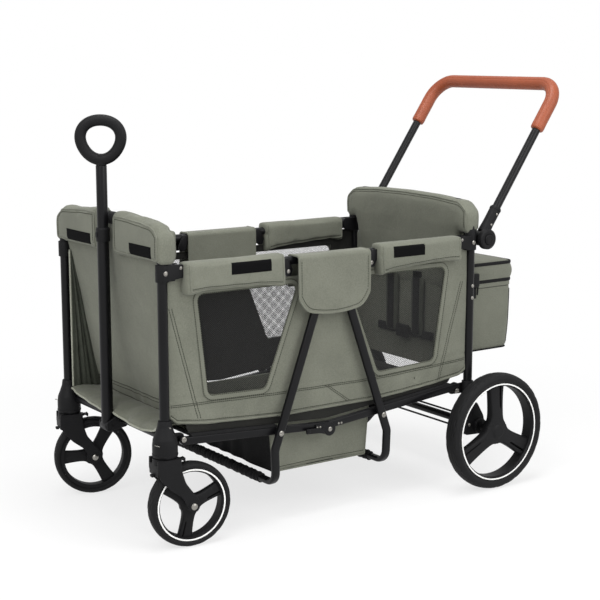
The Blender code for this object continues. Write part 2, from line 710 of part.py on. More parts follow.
def fork():
    """Fork about its swivel axis at the origin, trailing to +X."""
    hub = (CASTER_TRAIL, FRONT_WHEEL_D / 2)
    top = FORK_TOP
    outline = softened([(-0.0275, top - 0.001), (-0.0285, top - 0.028), (-0.014, top - 0.052),
                        (0.006, top - 0.074)], 0.02, 2, closed=False)
    outline = [tuple(p) for p in outline]
    outline += arc(hub, 0.0165, 235, 395, 6)
    outline += [(0.050, 0.135), (0.030, 0.160), (0.0270, top - 0.030), (0.0275, top - 0.001)]
    outline = outline[::-1]
    near = plate(outline, -BLADE_OUT, -BLADE_IN)
    far = plate(outline, BLADE_IN, BLADE_OUT)
    crown = cylinder(0.0278, top - 0.0125, top - SEAT / 2, "Z", (0, 0, 0), HOUSING_STEPS)
    saddle_low = -0.0272
    saddle = plate([(saddle_low, top - 0.0120), (saddle_low, top - 0.0330), (saddle_low + 0.006, top - 0.0330),
                    (-0.006, top - 0.0160), (0.020, top - 0.0125)][::-1], -BLADE_IN - 0.002, BLADE_IN + 0.002)
    axle = cylinder(FRONT_STUB_D / 2, -BLADE_OUT - 0.0030, BLADE_OUT + 0.0030, "Y", (hub[0], 0, hub[1]), PIN_STEPS)
    return joined(crown, saddle, near, far, axle)


def lock_tab():
    top = FORK_TOP
    return joined(box((0.0285, -0.008, top - 0.0105), (0.0450, 0.008, top - 0.0065)),
                  cylinder(0.0030, -0.0078, 0.0078, "Y", (0.0315, 0, top - 0.0085), PIN_STEPS))


def casters():
    for side, sign in SIDE.items():
        turn = -CASTER_TURN[side]
        place = Matrix.Translation((XF, sign * HALF, 0)) @ Matrix.Rotation(turn, 4, "Z")
        joint_axis(f"{side}_caster_axis", (XF, sign * HALF, FORK_TOP), "front_frame_axis")
        hub = place @ Vector((CASTER_TRAIL, 0, FRONT_WHEEL_D / 2))
        joint_axis(f"{side}_front_wheel_axis", hub, f"{side}_caster_axis")
        joint_axis(f"{side}_lock_axis", place @ Vector((0.0315, 0, FORK_TOP - 0.0085)), f"{side}_caster_axis")
        body = fork()
        body.data.transform(place)
        node(f"{side}_fork", MOULDED_BLACK, [body], f"{side}_caster_axis")
        tab = lock_tab()
        tab.data.transform(place)
        node(f"{side}_caster_lock", MOULDED_BLACK, [tab], f"{side}_lock_axis")
        wheel(side, "front", hub, FRONT_WHEEL_D / 2, FRONT_WHEEL_W, FRONT_RIM_R, 0.0185,
              20 if side == "left" else 60, turn)


# Front cross rail and the pull handle's hinge bracket

def pull_hinge_bracket():
    """A saddle on the cross rail whose two cheeks hold the pull handle's pin."""
    x, z = CROSS_RAIL
    hinge = PULL_HINGE_HEIGHT
    cheek = softened([(PULL_X - 0.011, hinge + 0.009), (PULL_X - 0.011, hinge - 0.011), (x + 0.012, z - 0.018),
                      (x + 0.012, z + 0.012), (x - 0.012, z + 0.012)], 0.006, 1)
    cheeks = [plate([tuple(p) for p in cheek], low, low + 0.005) for low in (-0.0205, 0.0155)]
    bridge = box((x - 0.0125, -0.018, z - 0.0150), (x + 0.0115, 0.018, z + 0.0115))
    bracket = joined(bridge, *cheeks)
    hole = cylinder(bore(CROSS_RAIL_D / 2), -0.03, 0.03, "Y", (x, 0, z))
    swing_room = cylinder(PULL_OUTER_D / 2 + 0.0015, -0.0154, 0.0154, "Y", (PULL_X, 0, hinge), HOUSING_STEPS)
    bracket = cut(bracket, hole, swing_room)
    pin = cylinder(0.0035, -0.019, 0.019, "Y", (PULL_X, 0, hinge), PIN_STEPS)
    node("pull_hinge_bracket", MOULDED_BLACK, [joined(bracket, pin)], "front_frame_axis")


def pull_handle():
    """Outer tube with its hinge eye and collar, sliding inner tube and a rounded ring."""
    hinge = PULL_HINGE_HEIGHT
    outer_r, inner_r, collar_r = PULL_OUTER_D / 2, PULL_INNER_D / 2, PULL_COLLAR_D / 2
    floor, neck, top = hinge + 0.050, PULL_OUTER_TOP, PULL_OUTER_TOP + PULL_COLLAR_H
    body = turned([(0, floor), (inner_r + SEAT, floor), (inner_r + SEAT, top), (collar_r - 0.0015, top),
                   (collar_r, top - 0.003), (collar_r, neck), (outer_r, neck), (outer_r, hinge + 0.008),
                   (0, hinge + 0.008)], (PULL_X, 0, 0), "Z")
    eye = plate(circle((PULL_X, hinge), outer_r - 0.001, HOUSING_STEPS), -0.0148, 0.0148)
    pin_hole = cylinder(bore(0.0035, PIN_STEPS), -0.02, 0.02, "Y", (PULL_X, 0, hinge), PIN_STEPS)
    node("pull_outer_tube", FRAME_BLACK, [cut(joined(eye, body), pin_hole)], "pull_hinge_axis")

    inner = cylinder(inner_r, PULL_OUTER_TOP - 0.200, PULL_INNER_TOP, "Z", (PULL_X, 0, 0), HOUSING_STEPS)
    node("pull_inner_tube", FRAME_BLACK, [inner], "pull_slide_axis")

    limb = PULL_RING_LIMB_D / 2
    centre = PULL_INNER_TOP + 0.014 + RING_R
    turns = np.linspace(0, 2 * math.pi, 20, endpoint=False)
    radii = RING_R * (1 + 0.035 * np.sin(3 * turns))
    route = [(r * math.cos(t) * math.cos(PULL_RING_TURN) + PULL_X,
              -r * math.cos(t) * math.sin(PULL_RING_TURN), centre + r * math.sin(t) * 0.97)
             for r, t in zip(radii, turns)]
    ring = tube(route, limb, 2, closed=True)
    neck = turned([(0, PULL_INNER_TOP + 0.022), (limb * 0.96, PULL_INNER_TOP + 0.022),
                   (limb * 0.96, PULL_INNER_TOP + 0.008), (inner_r * 0.97, PULL_INNER_TOP + SEAT),
                   (0, PULL_INNER_TOP + SEAT)], (PULL_X, 0, 0), "Z")
    node("pull_ring", MOULDED_BLACK, [joined(ring, neck)], "pull_twist_axis", 50)


# Push handle: two hubs, a bent tube and a stitched leather sleeve over its top

def push_point(share, y):
    """A point on the handle's slope, from the pivot at 0 to the top bar at 1."""
    return (PUSH_PIVOT[0] + PUSH_REACH * share, y, PUSH_PIVOT[1] + PUSH_RISE * share)


def push_route(first):
    """Axis of the handle tube from one share of the slope over the top and down again."""
    return bent([push_point(first, -PUSH_HALF), push_point(1, -PUSH_HALF), push_point(1, PUSH_HALF),
                 push_point(first, PUSH_HALF)], PUSH_BEND, 5)


def push_hub():
    """The left hub: a disc outside the post, turning on the ear's core, and a sleeve up the tube."""
    x, z = PUSH_PIVOT
    hole, back = bore(HUB_CORE_R), EAR_OUT + RUN
    recess, floor = BUTTON_R + 0.0008, HUB_OUT - BUTTON_PRESS - 0.0015
    disc = turned([(hole, floor), (recess, floor), (recess, HUB_OUT), (0.0215, HUB_OUT), (0.0245, HUB_OUT - 0.0030),
                   (0.0250, HUB_STEP), (HUB_NECK_R, HUB_STEP), (HUB_NECK_R, back), (hole, back)], (0, 0, 0), "Y", closed=True)
    disc.data.transform(Matrix.Translation((x, 0, z)) @ Matrix.Rotation(math.pi, 4, "Z"))
    slope = math.hypot(PUSH_REACH, PUSH_RISE)
    along = Vector((PUSH_REACH / slope, 0, PUSH_RISE / slope))
    pivot = Vector((x, -PUSH_HALF, z))
    sleeve = tube([pivot + along * s for s in (HUB_SLEEVE[0], HUB_SLEEVE[1])], PUSH_TUBE_D / 2 + 0.0035, 3)
    hollow = tube([pivot + along * s for s in (HUB_SOCKET, HUB_SLEEVE[1] + 0.02)], bore(PUSH_TUBE_D / 2), 3)
    return cut(joined(disc, sleeve), hollow)


def push_handle():
    """The bent tube, its stitched sleeve, the two hubs and their push buttons."""
    slope = math.hypot(PUSH_REACH, PUSH_RISE)
    first = (HUB_SOCKET + SEAT) / slope
    node("push_handle_tube", FRAME_BLACK, [tube(push_route(first), PUSH_TUBE_D / 2, 3)], "push_axis")
    start = 1 - GRIP_SHARE_END / PUSH_RISE
    sleeve = tube(push_route(start), PUSH_GRIP_D / 2, 3)
    hollow = tube(push_route(start - 0.05), PUSH_TUBE_D / 2 + SEAT, 3)
    node("push_grip", LEATHER, [cut(sleeve, hollow)], "push_axis")
    hub = push_hub()
    twin = mirrored(hub)
    node("left_push_hub", MOULDED_BLACK, [hub], "push_axis")
    node("right_push_hub", MOULDED_BLACK, [twin], "push_axis")
    for side, sign in SIDE.items():
        x, z = PUSH_PIVOT
        reach = HUB_OUT + 0.0030
        stem = cylinder(HUB_CORE_R - 0.0010, HUB_OUT - 0.0120, reach - 0.001, "Y", (0, 0, 0), PIN_STEPS)
        face = turned([(0, reach), (BUTTON_R - 0.0020, reach - 0.0004), (BUTTON_R, reach - 0.0018),
                       (BUTTON_R, HUB_OUT - 0.0010), (0, HUB_OUT - 0.0010)], (0, 0, 0), "Y")
        button = joined(face, stem)
        if sign < 0:
            button.data.transform(Matrix.Rotation(math.pi, 4, "Z"))
        button.data.transform(Matrix.Translation((x, 0, z)))
        node(f"{side}_tilt_button", MOULDED_BLACK, [button], f"{side}_button_axis")


# Floor rails: two halves on each side that fold up at a hinge in the middle

def rail_height(end, x):
    """Height of a floor rail's axis at a place along the wagon."""
    span = POST_SPACING / 2 - FLOOR_PIVOT_INSET
    return HINGE_MID + (END_HEIGHT[end] - HINGE_MID) * abs(x - XM) / span


def floor_rail(end):
    """The left half rail of an end with its pivot ear, hinge plate and rivet."""
    sign = ENDS[end]
    pivot = POST_X[end] - sign * FLOOR_PIVOT_INSET
    half = FLOOR_RAIL_H / 2
    butt = XM + sign * RUN / 2
    corners = [(butt, HINGE_MID - half), (pivot, END_HEIGHT[end] - half),
               (pivot, END_HEIGHT[end] + half), (butt, HINGE_MID + half)]
    bar = plate(corners if sign > 0 else corners[::-1], -RAIL_OUT, -RAIL_IN)
    ear = plate(circle((pivot, FLOOR_PIVOT_HEIGHT), 0.0105), -RAIL_OUT + 0.0001, -RAIL_IN - 0.0001)
    rail = joined(bar, ear)
    hole = cylinder(bore(PIN_D / 2, PIN_STEPS), -RAIL_OUT - 0.01, -RAIL_IN + 0.01, "Y",
                    (pivot, 0, FLOOR_PIVOT_HEIGHT), PIN_STEPS)
    bolt_x = XM + sign * LEG_BOLT[0]
    bolt_hole = cylinder(bore(PIN_D / 2, PIN_STEPS), -RAIL_OUT - 0.01, -RAIL_IN + 0.01, "Y",
                         (bolt_x, 0, LEG_BOLT[1]), PIN_STEPS)
    rail = cut(rail, hole, bolt_hole)
    if end == "rear":
        rail = cut(rail, cylinder(bore(HINGE_PIN_R, PIN_STEPS), -RAIL_OUT - 0.01, -RAIL_IN + 0.01, "Y",
                                  (XM, 0, FLOOR_HINGE_HEIGHT), PIN_STEPS))
    disc_r = HINGE_DISC_D / 2
    far = XM + sign * 0.040
    outer = end == "front"
    low = -RAIL_OUT - 0.0045 if outer else -RAIL_IN + SEAT
    high = -RAIL_OUT - SEAT if outer else -RAIL_IN + 0.0045
    strap = softened([(far, HINGE_MID - half * 0.8), (far, HINGE_MID + half * 0.8),
                      (XM, HINGE_MID + half * 0.8), (XM, HINGE_MID - half * 0.8)], 0.003, 1)
    strap = [tuple(p) for p in strap]
    disc = plate(circle((XM, FLOOR_HINGE_HEIGHT), disc_r, HOUSING_STEPS), low, high)
    tongue = plate(strap if sign > 0 else strap[::-1], low + 0.0001, high - 0.0001)
    rivet_x = XM + sign * 0.030
    rivet_low = -RAIL_OUT - (0.0044 if outer else 0.0030)
    rivet = cylinder(0.0050, rivet_low, -RAIL_IN + (0.004 if not outer else -0.004), "Y",
                     (rivet_x, 0, HINGE_MID), PIN_STEPS)
    rail = joined(rail, disc, tongue, rivet)
    if outer:
        rail = joined(rail, cylinder(HINGE_PIN_R, -RAIL_OUT - 0.0058, -RAIL_IN - RUN, "Y",
                                     (XM, 0, FLOOR_HINGE_HEIGHT), PIN_STEPS))
    return rail


def floor_frame(end):
    """Both half rails of an end and the cross tube between them, which carries the footwell."""
    sign = ENDS[end]
    x = XM + sign * (FOOTWELL_TOP_HALF + 0.012)
    cross = cylinder(0.0065, -RAIL_IN - 0.002, RAIL_IN + 0.002, "Y", (x, 0, rail_height(end, x)))
    return joined(cross, *both_sides(floor_rail(end)))


def seat(end):
    """A board on the half rails under a quilted mat: crowned, with sewn channels across it."""
    sign = ENDS[end]
    inner = XM + sign * (FOOTWELL_TOP_HALF + SEAT)
    outer = POST_X[end] - sign * (FLOOR_PIVOT_INSET + 0.020)
    rest = FLOOR_RAIL_H / 2 + SEAT
    low = [(x, rail_height(end, x) + rest) for x in (inner, outer)]
    high = [(x, z + FLOOR_BOARD_T) for x, z in reversed(low)]
    board = low + high
    first, last = inner + sign * 0.006, outer - sign * 0.012
    spots = np.linspace(0, 1, 25)
    swell = SEAT_MAT_T * (0.55 + 0.45 * np.abs(np.sin(spots * 4 * math.pi)) ** 0.5)
    swell[0] = swell[-1] = SEAT_MAT_T * 0.35
    xs = first + (last - first) * spots
    sunk = rest + FLOOR_BOARD_T
    tops = [rail_height(end, x) + sunk + t for x, t in zip(xs, swell)]
    mat = [(first, rail_height(end, first) + sunk - 0.001), (last, rail_height(end, last) + sunk - 0.001)]
    mat += list(zip(xs, tops))[::-1]
    if sign < 0:
        board, mat = board[::-1], mat[::-1]
    return joined(plate(board, -RAIL_OUT, RAIL_OUT), plate(mat, -MAT_HALF_W, MAT_HALF_W))


def floor_halves():
    for end in ENDS:
        axis = f"{end}_floor_axis"
        node(f"{end}_floor_frame", FRAME_BLACK, [floor_frame(end)], axis)
        node(f"{end}_seat", DARK_LINING, [seat(end)], axis)


# Fold latches: a hook on each front half rail that grips the hinge disc's edge

def fold_latch():
    """The left latch, which turns on the front rail and lies over the hinge plate."""
    pivot = (XM - 0.062, HINGE_MID - 0.004)
    tip = XM - HINGE_DISC_D / 2 - 0.0012
    outline = softened([(pivot[0] - 0.007, pivot[1] + 0.006), (pivot[0] - 0.007, pivot[1] - 0.006),
                        (tip - 0.014, pivot[1] - 0.009), (tip - 0.002, pivot[1] - 0.012),
                        (tip, pivot[1] - 0.001), (tip - 0.013, pivot[1] + 0.003)], 0.0025, 1)
    low, high = -RAIL_OUT - 0.0086, -RAIL_OUT - 0.0049
    return joined(plate([tuple(p) for p in outline], low, high),
                  cylinder(0.0042, low - 0.0015, -RAIL_OUT - SEAT, "Y", (pivot[0], 0, pivot[1]), PIN_STEPS))


def fold_latches():
    latch = fold_latch()
    twin = mirrored(latch)
    node("left_fold_latch", FRAME_BLACK, [latch], "left_latch_axis")
    node("right_fold_latch", FRAME_BLACK, [twin], "right_latch_axis")


# Top side rails: two end sections that swing up and a middle one that stays level

def hinge_cheek(end, towards, low, high):
    """A cheek from a rail's end down to the middle pivot; towards is the rail's side."""
    x = MID_PIVOT[end]
    z = TOP_MID_PIVOT_HEIGHT
    far = x + towards * 0.0175
    near = x + towards * 0.0009
    top = TOP_RAIL_HEIGHT + RAIL_R - 0.0015
    base = TOP_RAIL_HEIGHT - RAIL_R - 0.0020
    corners = [(near, z - 0.004), (far, base), (far, top), (near, top)]
    strap = plate(corners if towards > 0 else corners[::-1], low + 0.0001, high - 0.0001)
    return [plate(circle((x, z), KNUCKLE_R), low, high), strap]


def end_top_rail(end):
    """The left swinging rail of an end: tube, pivot lug at the post and outer cheek."""
    sign = ENDS[end]
    pivot = POST_X[end] - sign * TOP_PIVOT_INSET
    middle = MID_PIVOT[end]
    low, high = sorted((pivot + sign * 0.004, middle + sign * RUN / 2))
    bar = cylinder(RAIL_R, low, high, "X", (0, -HALF, TOP_RAIL_HEIGHT))
    lug_z = TOP_PIVOT_HEIGHT
    far = pivot - sign * 0.0125
    corners = [(pivot, lug_z - 0.0195), (far, lug_z - 0.0195), (far, lug_z - 0.004), (pivot, lug_z + 0.009)]
    lug = plate(corners if sign < 0 else corners[::-1], -HALF - RAIL_R + 0.0004, -HALF + RAIL_R - 0.0004)
    nose = plate(circle((pivot, lug_z), 0.0090), -HALF - RAIL_R + 0.0005, -HALF + RAIL_R - 0.0005)
    hole = cylinder(bore(PIN_D / 2, PIN_STEPS), -HALF - 0.02, -HALF + 0.02, "Y", (pivot, 0, lug_z), PIN_STEPS)
    rail = cut(joined(bar, lug, nose), hole)
    outer = -HALF - RAIL_R
    cheeks = hinge_cheek(end, sign, outer - 0.0031, outer + 0.0012)
    boss = cylinder(0.0042, outer - 0.0020, -HALF + RAIL_R - 0.0010 - RUN, "Y", (middle, 0, TOP_MID_PIVOT_HEIGHT), PIN_STEPS)
    head = cylinder(0.0048, outer - 0.0044, outer - 0.0025, "Y", (middle, 0, TOP_MID_PIVOT_HEIGHT), PIN_STEPS)
    return joined(rail, *cheeks, boss, head)


def middle_top_rail():
    """The left level rail with an inner cheek at each end and the legs' hanger plate."""
    low, high = MID_PIVOT["front"] + RUN / 2, MID_PIVOT["rear"] - RUN / 2
    bar = cylinder(RAIL_R, low, high, "X", (0, -HALF, TOP_RAIL_HEIGHT))
    inner = -HALF + RAIL_R
    cheeks = []
    for end, sign in ENDS.items():
        cheeks += hinge_cheek(end, -sign, inner - 0.0010, inner + 0.0031)
    half, foot = LEG_TOP[0] + 0.012, LEG_TOP[1] - 0.012
    hanger = plate([tuple(p) for p in softened([(XM - half, foot), (XM + half, foot),
                                                (XM + half, TOP_RAIL_HEIGHT), (XM - half, TOP_RAIL_HEIGHT)],
                                               0.006, 1)], -HALF - RAIL_R - 0.0028, -HALF - RAIL_R + 0.0025)
    return joined(bar, *cheeks, hanger)


def side_pad(end):
    """The left padded sleeve over an end rail, slit below for the side cloth."""
    sign = ENDS[end]
    slit = SIDE_CLOTH_T / 2 + SEAT
    hug = bore(RAIL_R, 11)
    middle = TOP_RAIL_HEIGHT
    outer = [(-PAD_OUTER, PAD_BOTTOM), (-PAD_OUTER, PAD_TOP), (-PAD_INNER, PAD_TOP), (-PAD_INNER, PAD_BOTTOM)]
    shell = [tuple(p) for p in softened(outer, 0.012, 2)]
    angle = math.degrees(math.asin(slit / hug))
    slot = [(-HALF + slit, PAD_BOTTOM - 0.01)] + arc((-HALF, middle), hug, -90 + angle, 270 - angle, 11)
    slot += [(-HALF - slit, PAD_BOTTOM - 0.01)]
    near, far = MID_PIVOT[end] + sign * 0.0185, POST_X[end] - sign * (TOP_PIVOT_INSET + 0.0135)
    low, high = sorted((near, far))
    sleeve = plate(shell[::-1], low, high, "YZ", edge=0.004)
    channel = plate(slot, low - 0.02, high + 0.02, "YZ")
    rise = 0.018 if end == "rear" else 0.0
    hem = softened([(low, PAD_BOTTOM + (0.0 if sign > 0 else rise)), (high, PAD_BOTTOM + rise),
                    (high, PAD_TOP + 0.01), (low, PAD_TOP + 0.01)], 0.010)
    hem = [tuple(p) for p in hem]
    trim = plate(hem, -PAD_OUTER - 0.01, -PAD_INNER + 0.01)
    return cut(common(sleeve, trim), channel)


def middle_flap():
    """The left padded flap over the middle rail and the legs' heads, longer outside."""
    top = TOP_RAIL_HEIGHT + RAIL_R + SEAT
    inner_low = TOP_RAIL_HEIGHT - 0.062
    section = [(-FLAP_OUT, FLAP_TIP - 0.01), (-FLAP_OUT, top - 0.001), (-FLAP_OUT + 0.005, top + FLAP_T),
               (-FLAP_IN - 0.005, top + FLAP_T), (-FLAP_IN, top - 0.001), (-FLAP_IN, inner_low),
               (-FLAP_IN - FLAP_T, inner_low), (-FLAP_IN - FLAP_T, top), (-FLAP_OUT + FLAP_T, top),
               (-FLAP_OUT + FLAP_T, FLAP_TIP - 0.01)]
    band = plate(section[::-1], XM - FLAP_HALF - 0.01, XM + FLAP_HALF + 0.01, "YZ")
    side_low, tip = FLAP_SIDE, FLAP_TIP
    hem = [(XM - FLAP_HALF, side_low + 0.004), (XM - FLAP_HALF + 0.016, side_low - 0.016)]
    spread = np.linspace(-0.070, 0.070, 7)
    hem += [(XM + s, tip + 0.020 * (s / 0.070) ** 2) for s in spread]
    hem += [(XM + FLAP_HALF - 0.016, side_low - 0.016), (XM + FLAP_HALF, side_low + 0.004)]
    crown = top + 0.05
    trim = plate(hem + [(XM + FLAP_HALF, crown), (XM - FLAP_HALF, crown)], -FLAP_OUT - 0.01, -FLAP_IN + 0.01)
    return common(band, trim)


def on_both_sides(name, material, left, axis):
    """A left piece and its twin on the right, as two nodes on one joint."""
    right = mirrored(left)
    node(f"left_{name}", material, [left], axis)
    node(f"right_{name}", material, [right], axis)


def top_rails():
    for end in ENDS:
        axis = f"{end}_top_axis"
        on_both_sides(f"{end}_top_rail", FRAME_BLACK, end_top_rail(end), axis)
        on_both_sides(f"{end}_side_pad", SAGE, side_pad(end), axis)
    on_both_sides("middle_top_rail", FRAME_BLACK, middle_top_rail(), "middle_top_axis")
    on_both_sides("middle_flap", SAGE, middle_flap(), "middle_top_axis")


# Leg frames: a flat tube from the flap down, under the footwell and up again

def leg_frame(end):
    """Both legs of an end and the bar between their feet, bent from one flat tube."""
    sign = ENDS[end]
    y = LEG_GAUGE / 2
    spots = [LEG_TOP, LEG_KNEE, LEG_FOOT]
    left = [(XM + sign * spread, -y, z) for spread, z in spots]
    right = [(x, -ly, z) for x, ly, z in reversed(left)]
    route = bent(left + right, LEG_BEND, 3)
    section = bpy.data.curves.new("leg_section", "CURVE")
    section.dimensions = "2D"
    spline = section.splines.new("POLY")
    corner = 0.0045
    rim = [tuple(p) for p in softened([(-LEG_W / 2, -LEG_T / 2), (LEG_W / 2, -LEG_T / 2),
                                       (LEG_W / 2, LEG_T / 2), (-LEG_W / 2, LEG_T / 2)], corner, 1)]
    spline.points.add(len(rim) - 1)
    for point, place in zip(spline.points, rim):
        point.co = (place[0], place[1], 0.0, 1.0)
    spline.use_cyclic_u = True
    guide = bpy.data.objects.new("leg_section", section)
    CUTTERS.objects.link(guide)
    guide.hide_render = True
    frame = tube(route, 0, section=guide, tilt=math.radians(90))
    bpy.data.objects.remove(guide, do_unlink=True)
    x, z = XM + sign * LEG_BOLT[0], LEG_BOLT[1]
    for side in SIDE.values():
        face = side * (y + LEG_T / 2)
        low, high = sorted((face + side * 0.0030, side * (RAIL_IN + 0.0030)))
        frame = joined(frame, cylinder(PIN_D / 2, low, high, "Y", (x, 0, z), PIN_STEPS))
        top_x = XM + sign * LEG_TOP[0]
        low, high = sorted((side * (y - 0.002), side * (HALF + RAIL_R + 0.0028 + SEAT)))
        boss = cylinder(0.0060, low, high, "Y", (top_x, 0, LEG_TOP[1] - 0.008), PIN_STEPS)
        frame = joined(frame, boss)
    return frame


def leg_frames():
    for end in ENDS:
        node(f"{end}_leg_frame", FRAME_BLACK, [leg_frame(end)], f"{end}_leg_axis")


# Cloth: side panels with net windows, end walls, end pads, footwell and bag

def side_panel():
    """The left side cloth between the posts, its hem just above the floor boards."""
    end = POST_SPACING / 2 - TUBE_R - SEAT
    hem = [(-end + 0.020, 0.274), (-0.327, 0.264), (-0.140, 0.2525), (0.140, 0.2525), (0.278, 0.262),
           (end - 0.020, 0.276)]
    dip, dip_z = TOP_MIDDLE_LENGTH / 2 + 0.015, TOP_MID_PIVOT_HEIGHT - KNUCKLE_R - 0.001
    top = [(end, PANEL_TOP), (dip, PANEL_TOP), (dip, dip_z), (-dip, dip_z), (-dip, PANEL_TOP), (-end, PANEL_TOP)]
    outline = hem + [(end, 0.292)] + top + [(-end, 0.292)]
    outline = [(XM + x, z) for x, z in outline]
    holes = [[(XM + x, z) for x, z in softened(window, 0.018, 3)][::-1] for window in WINDOWS.values()]
    return plate(outline, -HALF - SIDE_CLOTH_T / 2, -HALF + SIDE_CLOTH_T / 2, holes=holes)


def window_net():
    """The left net: one fine sheet behind both windows, against the cloth's inner face."""
    face = -HALF + SIDE_CLOTH_T / 2 + SEAT
    corners = [(XM - 0.356, 0.312), (XM + 0.356, 0.312), (XM + 0.362, PAD_BOTTOM - 0.0015),
               (XM - 0.362, PAD_BOTTOM - 0.0015)]
    return plate(corners, face, face + 0.001)


def front_wall():
    """The front cloth: from its foot it leans out to the arch, where the pads leave room for the handle."""
    gap, sleeve, hem = END_PAD_GAP - SEAT, ARCH_HEIGHT - TUBE_R - 0.004, FRONT_HEM
    half = [(WALL_HALF, hem + 0.009), (WALL_HALF, WALL_TOP), (gap, WALL_TOP), (gap, sleeve)]
    outline = plate([(0, hem)] + half + [(-y, z) for y, z in reversed(half)], XF - 0.01, XF + 0.12, "YZ")
    face, foot = (XF - 0.001, XF + 0.006), FRONT_WALL_LEAN
    side = [(face[0] + foot, hem - 0.001), (face[1] + foot, hem - 0.001), (face[1], WALL_TOP),
            (face[1], sleeve + 0.01), (face[0], sleeve + 0.01), (face[0], WALL_TOP)]
    return common(plate(side, -HALF, HALF), outline)


def rear_wall():
    """The rear cloth, notched beside the push handle's ears."""
    ear, notch = EAR_IN - SEAT, PUSH_PIVOT[1] - 0.026
    half = [(WALL_HALF, 0.272), (WALL_HALF, notch), (ear, notch), (ear, WALL_TOP)]
    return plate(half + [(-y, z) for y, z in reversed(half)], XR - 0.006, XR + 0.006, "YZ")


def end_pad(end, middle_x):
    """Arched pad over an end frame, with a tunnel for the tube."""
    low, high, half = END_PAD_BOTTOM, END_PAD_TOP, END_PAD_HALF_W
    arch = [(-half, low), (half, low), (half, low + 0.040), (half - 0.030, high - 0.014)]
    arch += [(s * (half - 0.08), high - 0.0055 * (s ** 2)) for s in (1, 0.5, 0, -0.5, -1)]
    arch += [(-half + 0.030, high - 0.014), (-half, low + 0.040)]
    arch = [tuple(p) for p in softened(arch, 0.012, 1)]
    pad = plate(arch, middle_x - END_PAD_T / 2, middle_x + END_PAD_T / 2, "YZ", edge=0.012, edge_steps=1)
    tunnel = tube(end_route(end, END_PAD_BOTTOM - 0.05), bore(TUBE_R), 3)
    if end == "rear":
        room = cylinder(bore(TUBE_R + 0.0035), low - 0.01, BRACKET_TOP[end] + SEAT, "Z", (XR, -HALF, 0))
        pad = cut(pad, *both_sides(room))
    else:
        room = box((XF - 0.06, -END_PAD_GAP, low - 0.01), (XF + 0.08, END_PAD_GAP, high + 0.02))
        sleeve = cylinder(TUBE_R + 0.0035, -0.1, 0.1, "Y", (XF + FRONT_ARCH_SET_BACK, 0, ARCH_HEIGHT), 12)
        pad = cut(pad, cut(room, sleeve))
    return cut(pad, tunnel)


def end_cloths():
    node("front_end_wall", SAGE, [front_wall()], "front_frame_axis")
    node("front_end_pad", SAGE, [end_pad("front", XF + 0.007)], "front_frame_axis")
    node("rear_end_wall", SAGE, [rear_wall()])
    node("rear_end_pad", SAGE, [end_pad("rear", XR)])


def harness():
    """Two padded shoulder straps against the rear wall, joined below by the lap strap."""
    x = XR - 0.006 - SEAT
    top, low = TOP_RAIL_HEIGHT - 0.107, TOP_RAIL_HEIGHT - 0.267
    lap = plate([(-0.110, low), (0.110, low), (0.110, low + 0.022), (-0.110, low + 0.022)], x - 0.008, x - 0.0001,
                "YZ")
    pads = []
    for y in (-HARNESS_SPREAD, HARNESS_SPREAD):
        outline = softened([(y - 0.022, low + 0.005), (y + 0.022, low + 0.005), (y + 0.026, top), (y - 0.026, top)],
                           0.012, 2)
        pads.append(plate([tuple(p) for p in outline], x - 0.012, x, "YZ", edge=0.003))
    node("rear_harness", DARK_LINING, [joined(lap, *pads)])


def side_cloths():
    on_both_sides("side_panel", SAGE, side_panel(), None)
    on_both_sides("window_net", MESH_BLACK, window_net(), None)


def footwell():
    """An open tub of cloth between the two floor boards, narrower at its base."""
    top_x, base_x = FOOTWELL_TOP_HALF, FOOTWELL_TOP_HALF - 0.012
    top = min(rail_height(end, XM + sign * top_x) for end, sign in ENDS.items()) + FLOOR_RAIL_H / 2 + 0.006
    wall = 0.003
    low = FOOTWELL_BOTTOM
    hem = top - 0.016
    outer = [(XM - base_x, low), (XM + base_x, low), (XM + top_x, hem), (XM + top_x, top),
             (XM - top_x, top), (XM - top_x, hem)]
    inner = [(XM - base_x + wall, low + wall), (XM + base_x - wall, low + wall),
             (XM + top_x - wall, top + 0.01), (XM - top_x + wall, top + 0.01)]
    half = FOOTWELL_HALF_W
    tub = plate(outer, -half, half)
    return cut(tub, plate(inner, -half + wall, half - wall))


# Storage bag behind the rear wall, with a zipped lid hinged at the wall's side

def storage_bag():
    front, back = BAG_FRONT, BAG_FRONT + BAG_DEPTH
    body = plate([tuple(p) for p in softened([(front, BAG_BOTTOM), (back - 0.008, BAG_BOTTOM),
                                              (back, BAG_RIM), (front, BAG_RIM)], 0.018, 3)],
                 -BAG_HALF_W, BAG_HALF_W, edge=0.010, edge_steps=2)
    hollow = plate([tuple(p) for p in softened([(front + BAG_WALL, BAG_BOTTOM + BAG_WALL),
                                                (back - 0.008 - BAG_WALL, BAG_BOTTOM + BAG_WALL),
                                                (back - BAG_WALL, BAG_RIM + 0.02),
                                                (front + BAG_WALL, BAG_RIM + 0.02)], 0.014, 3)],
                   -BAG_HALF_W + BAG_WALL + 0.003, BAG_HALF_W - BAG_WALL - 0.003)
    level = box((front - 0.02, -0.3, BAG_RIM - 0.012), (back + 0.02, 0.3, BAG_RIM + 0.03))
    return cut(body, hollow, level)


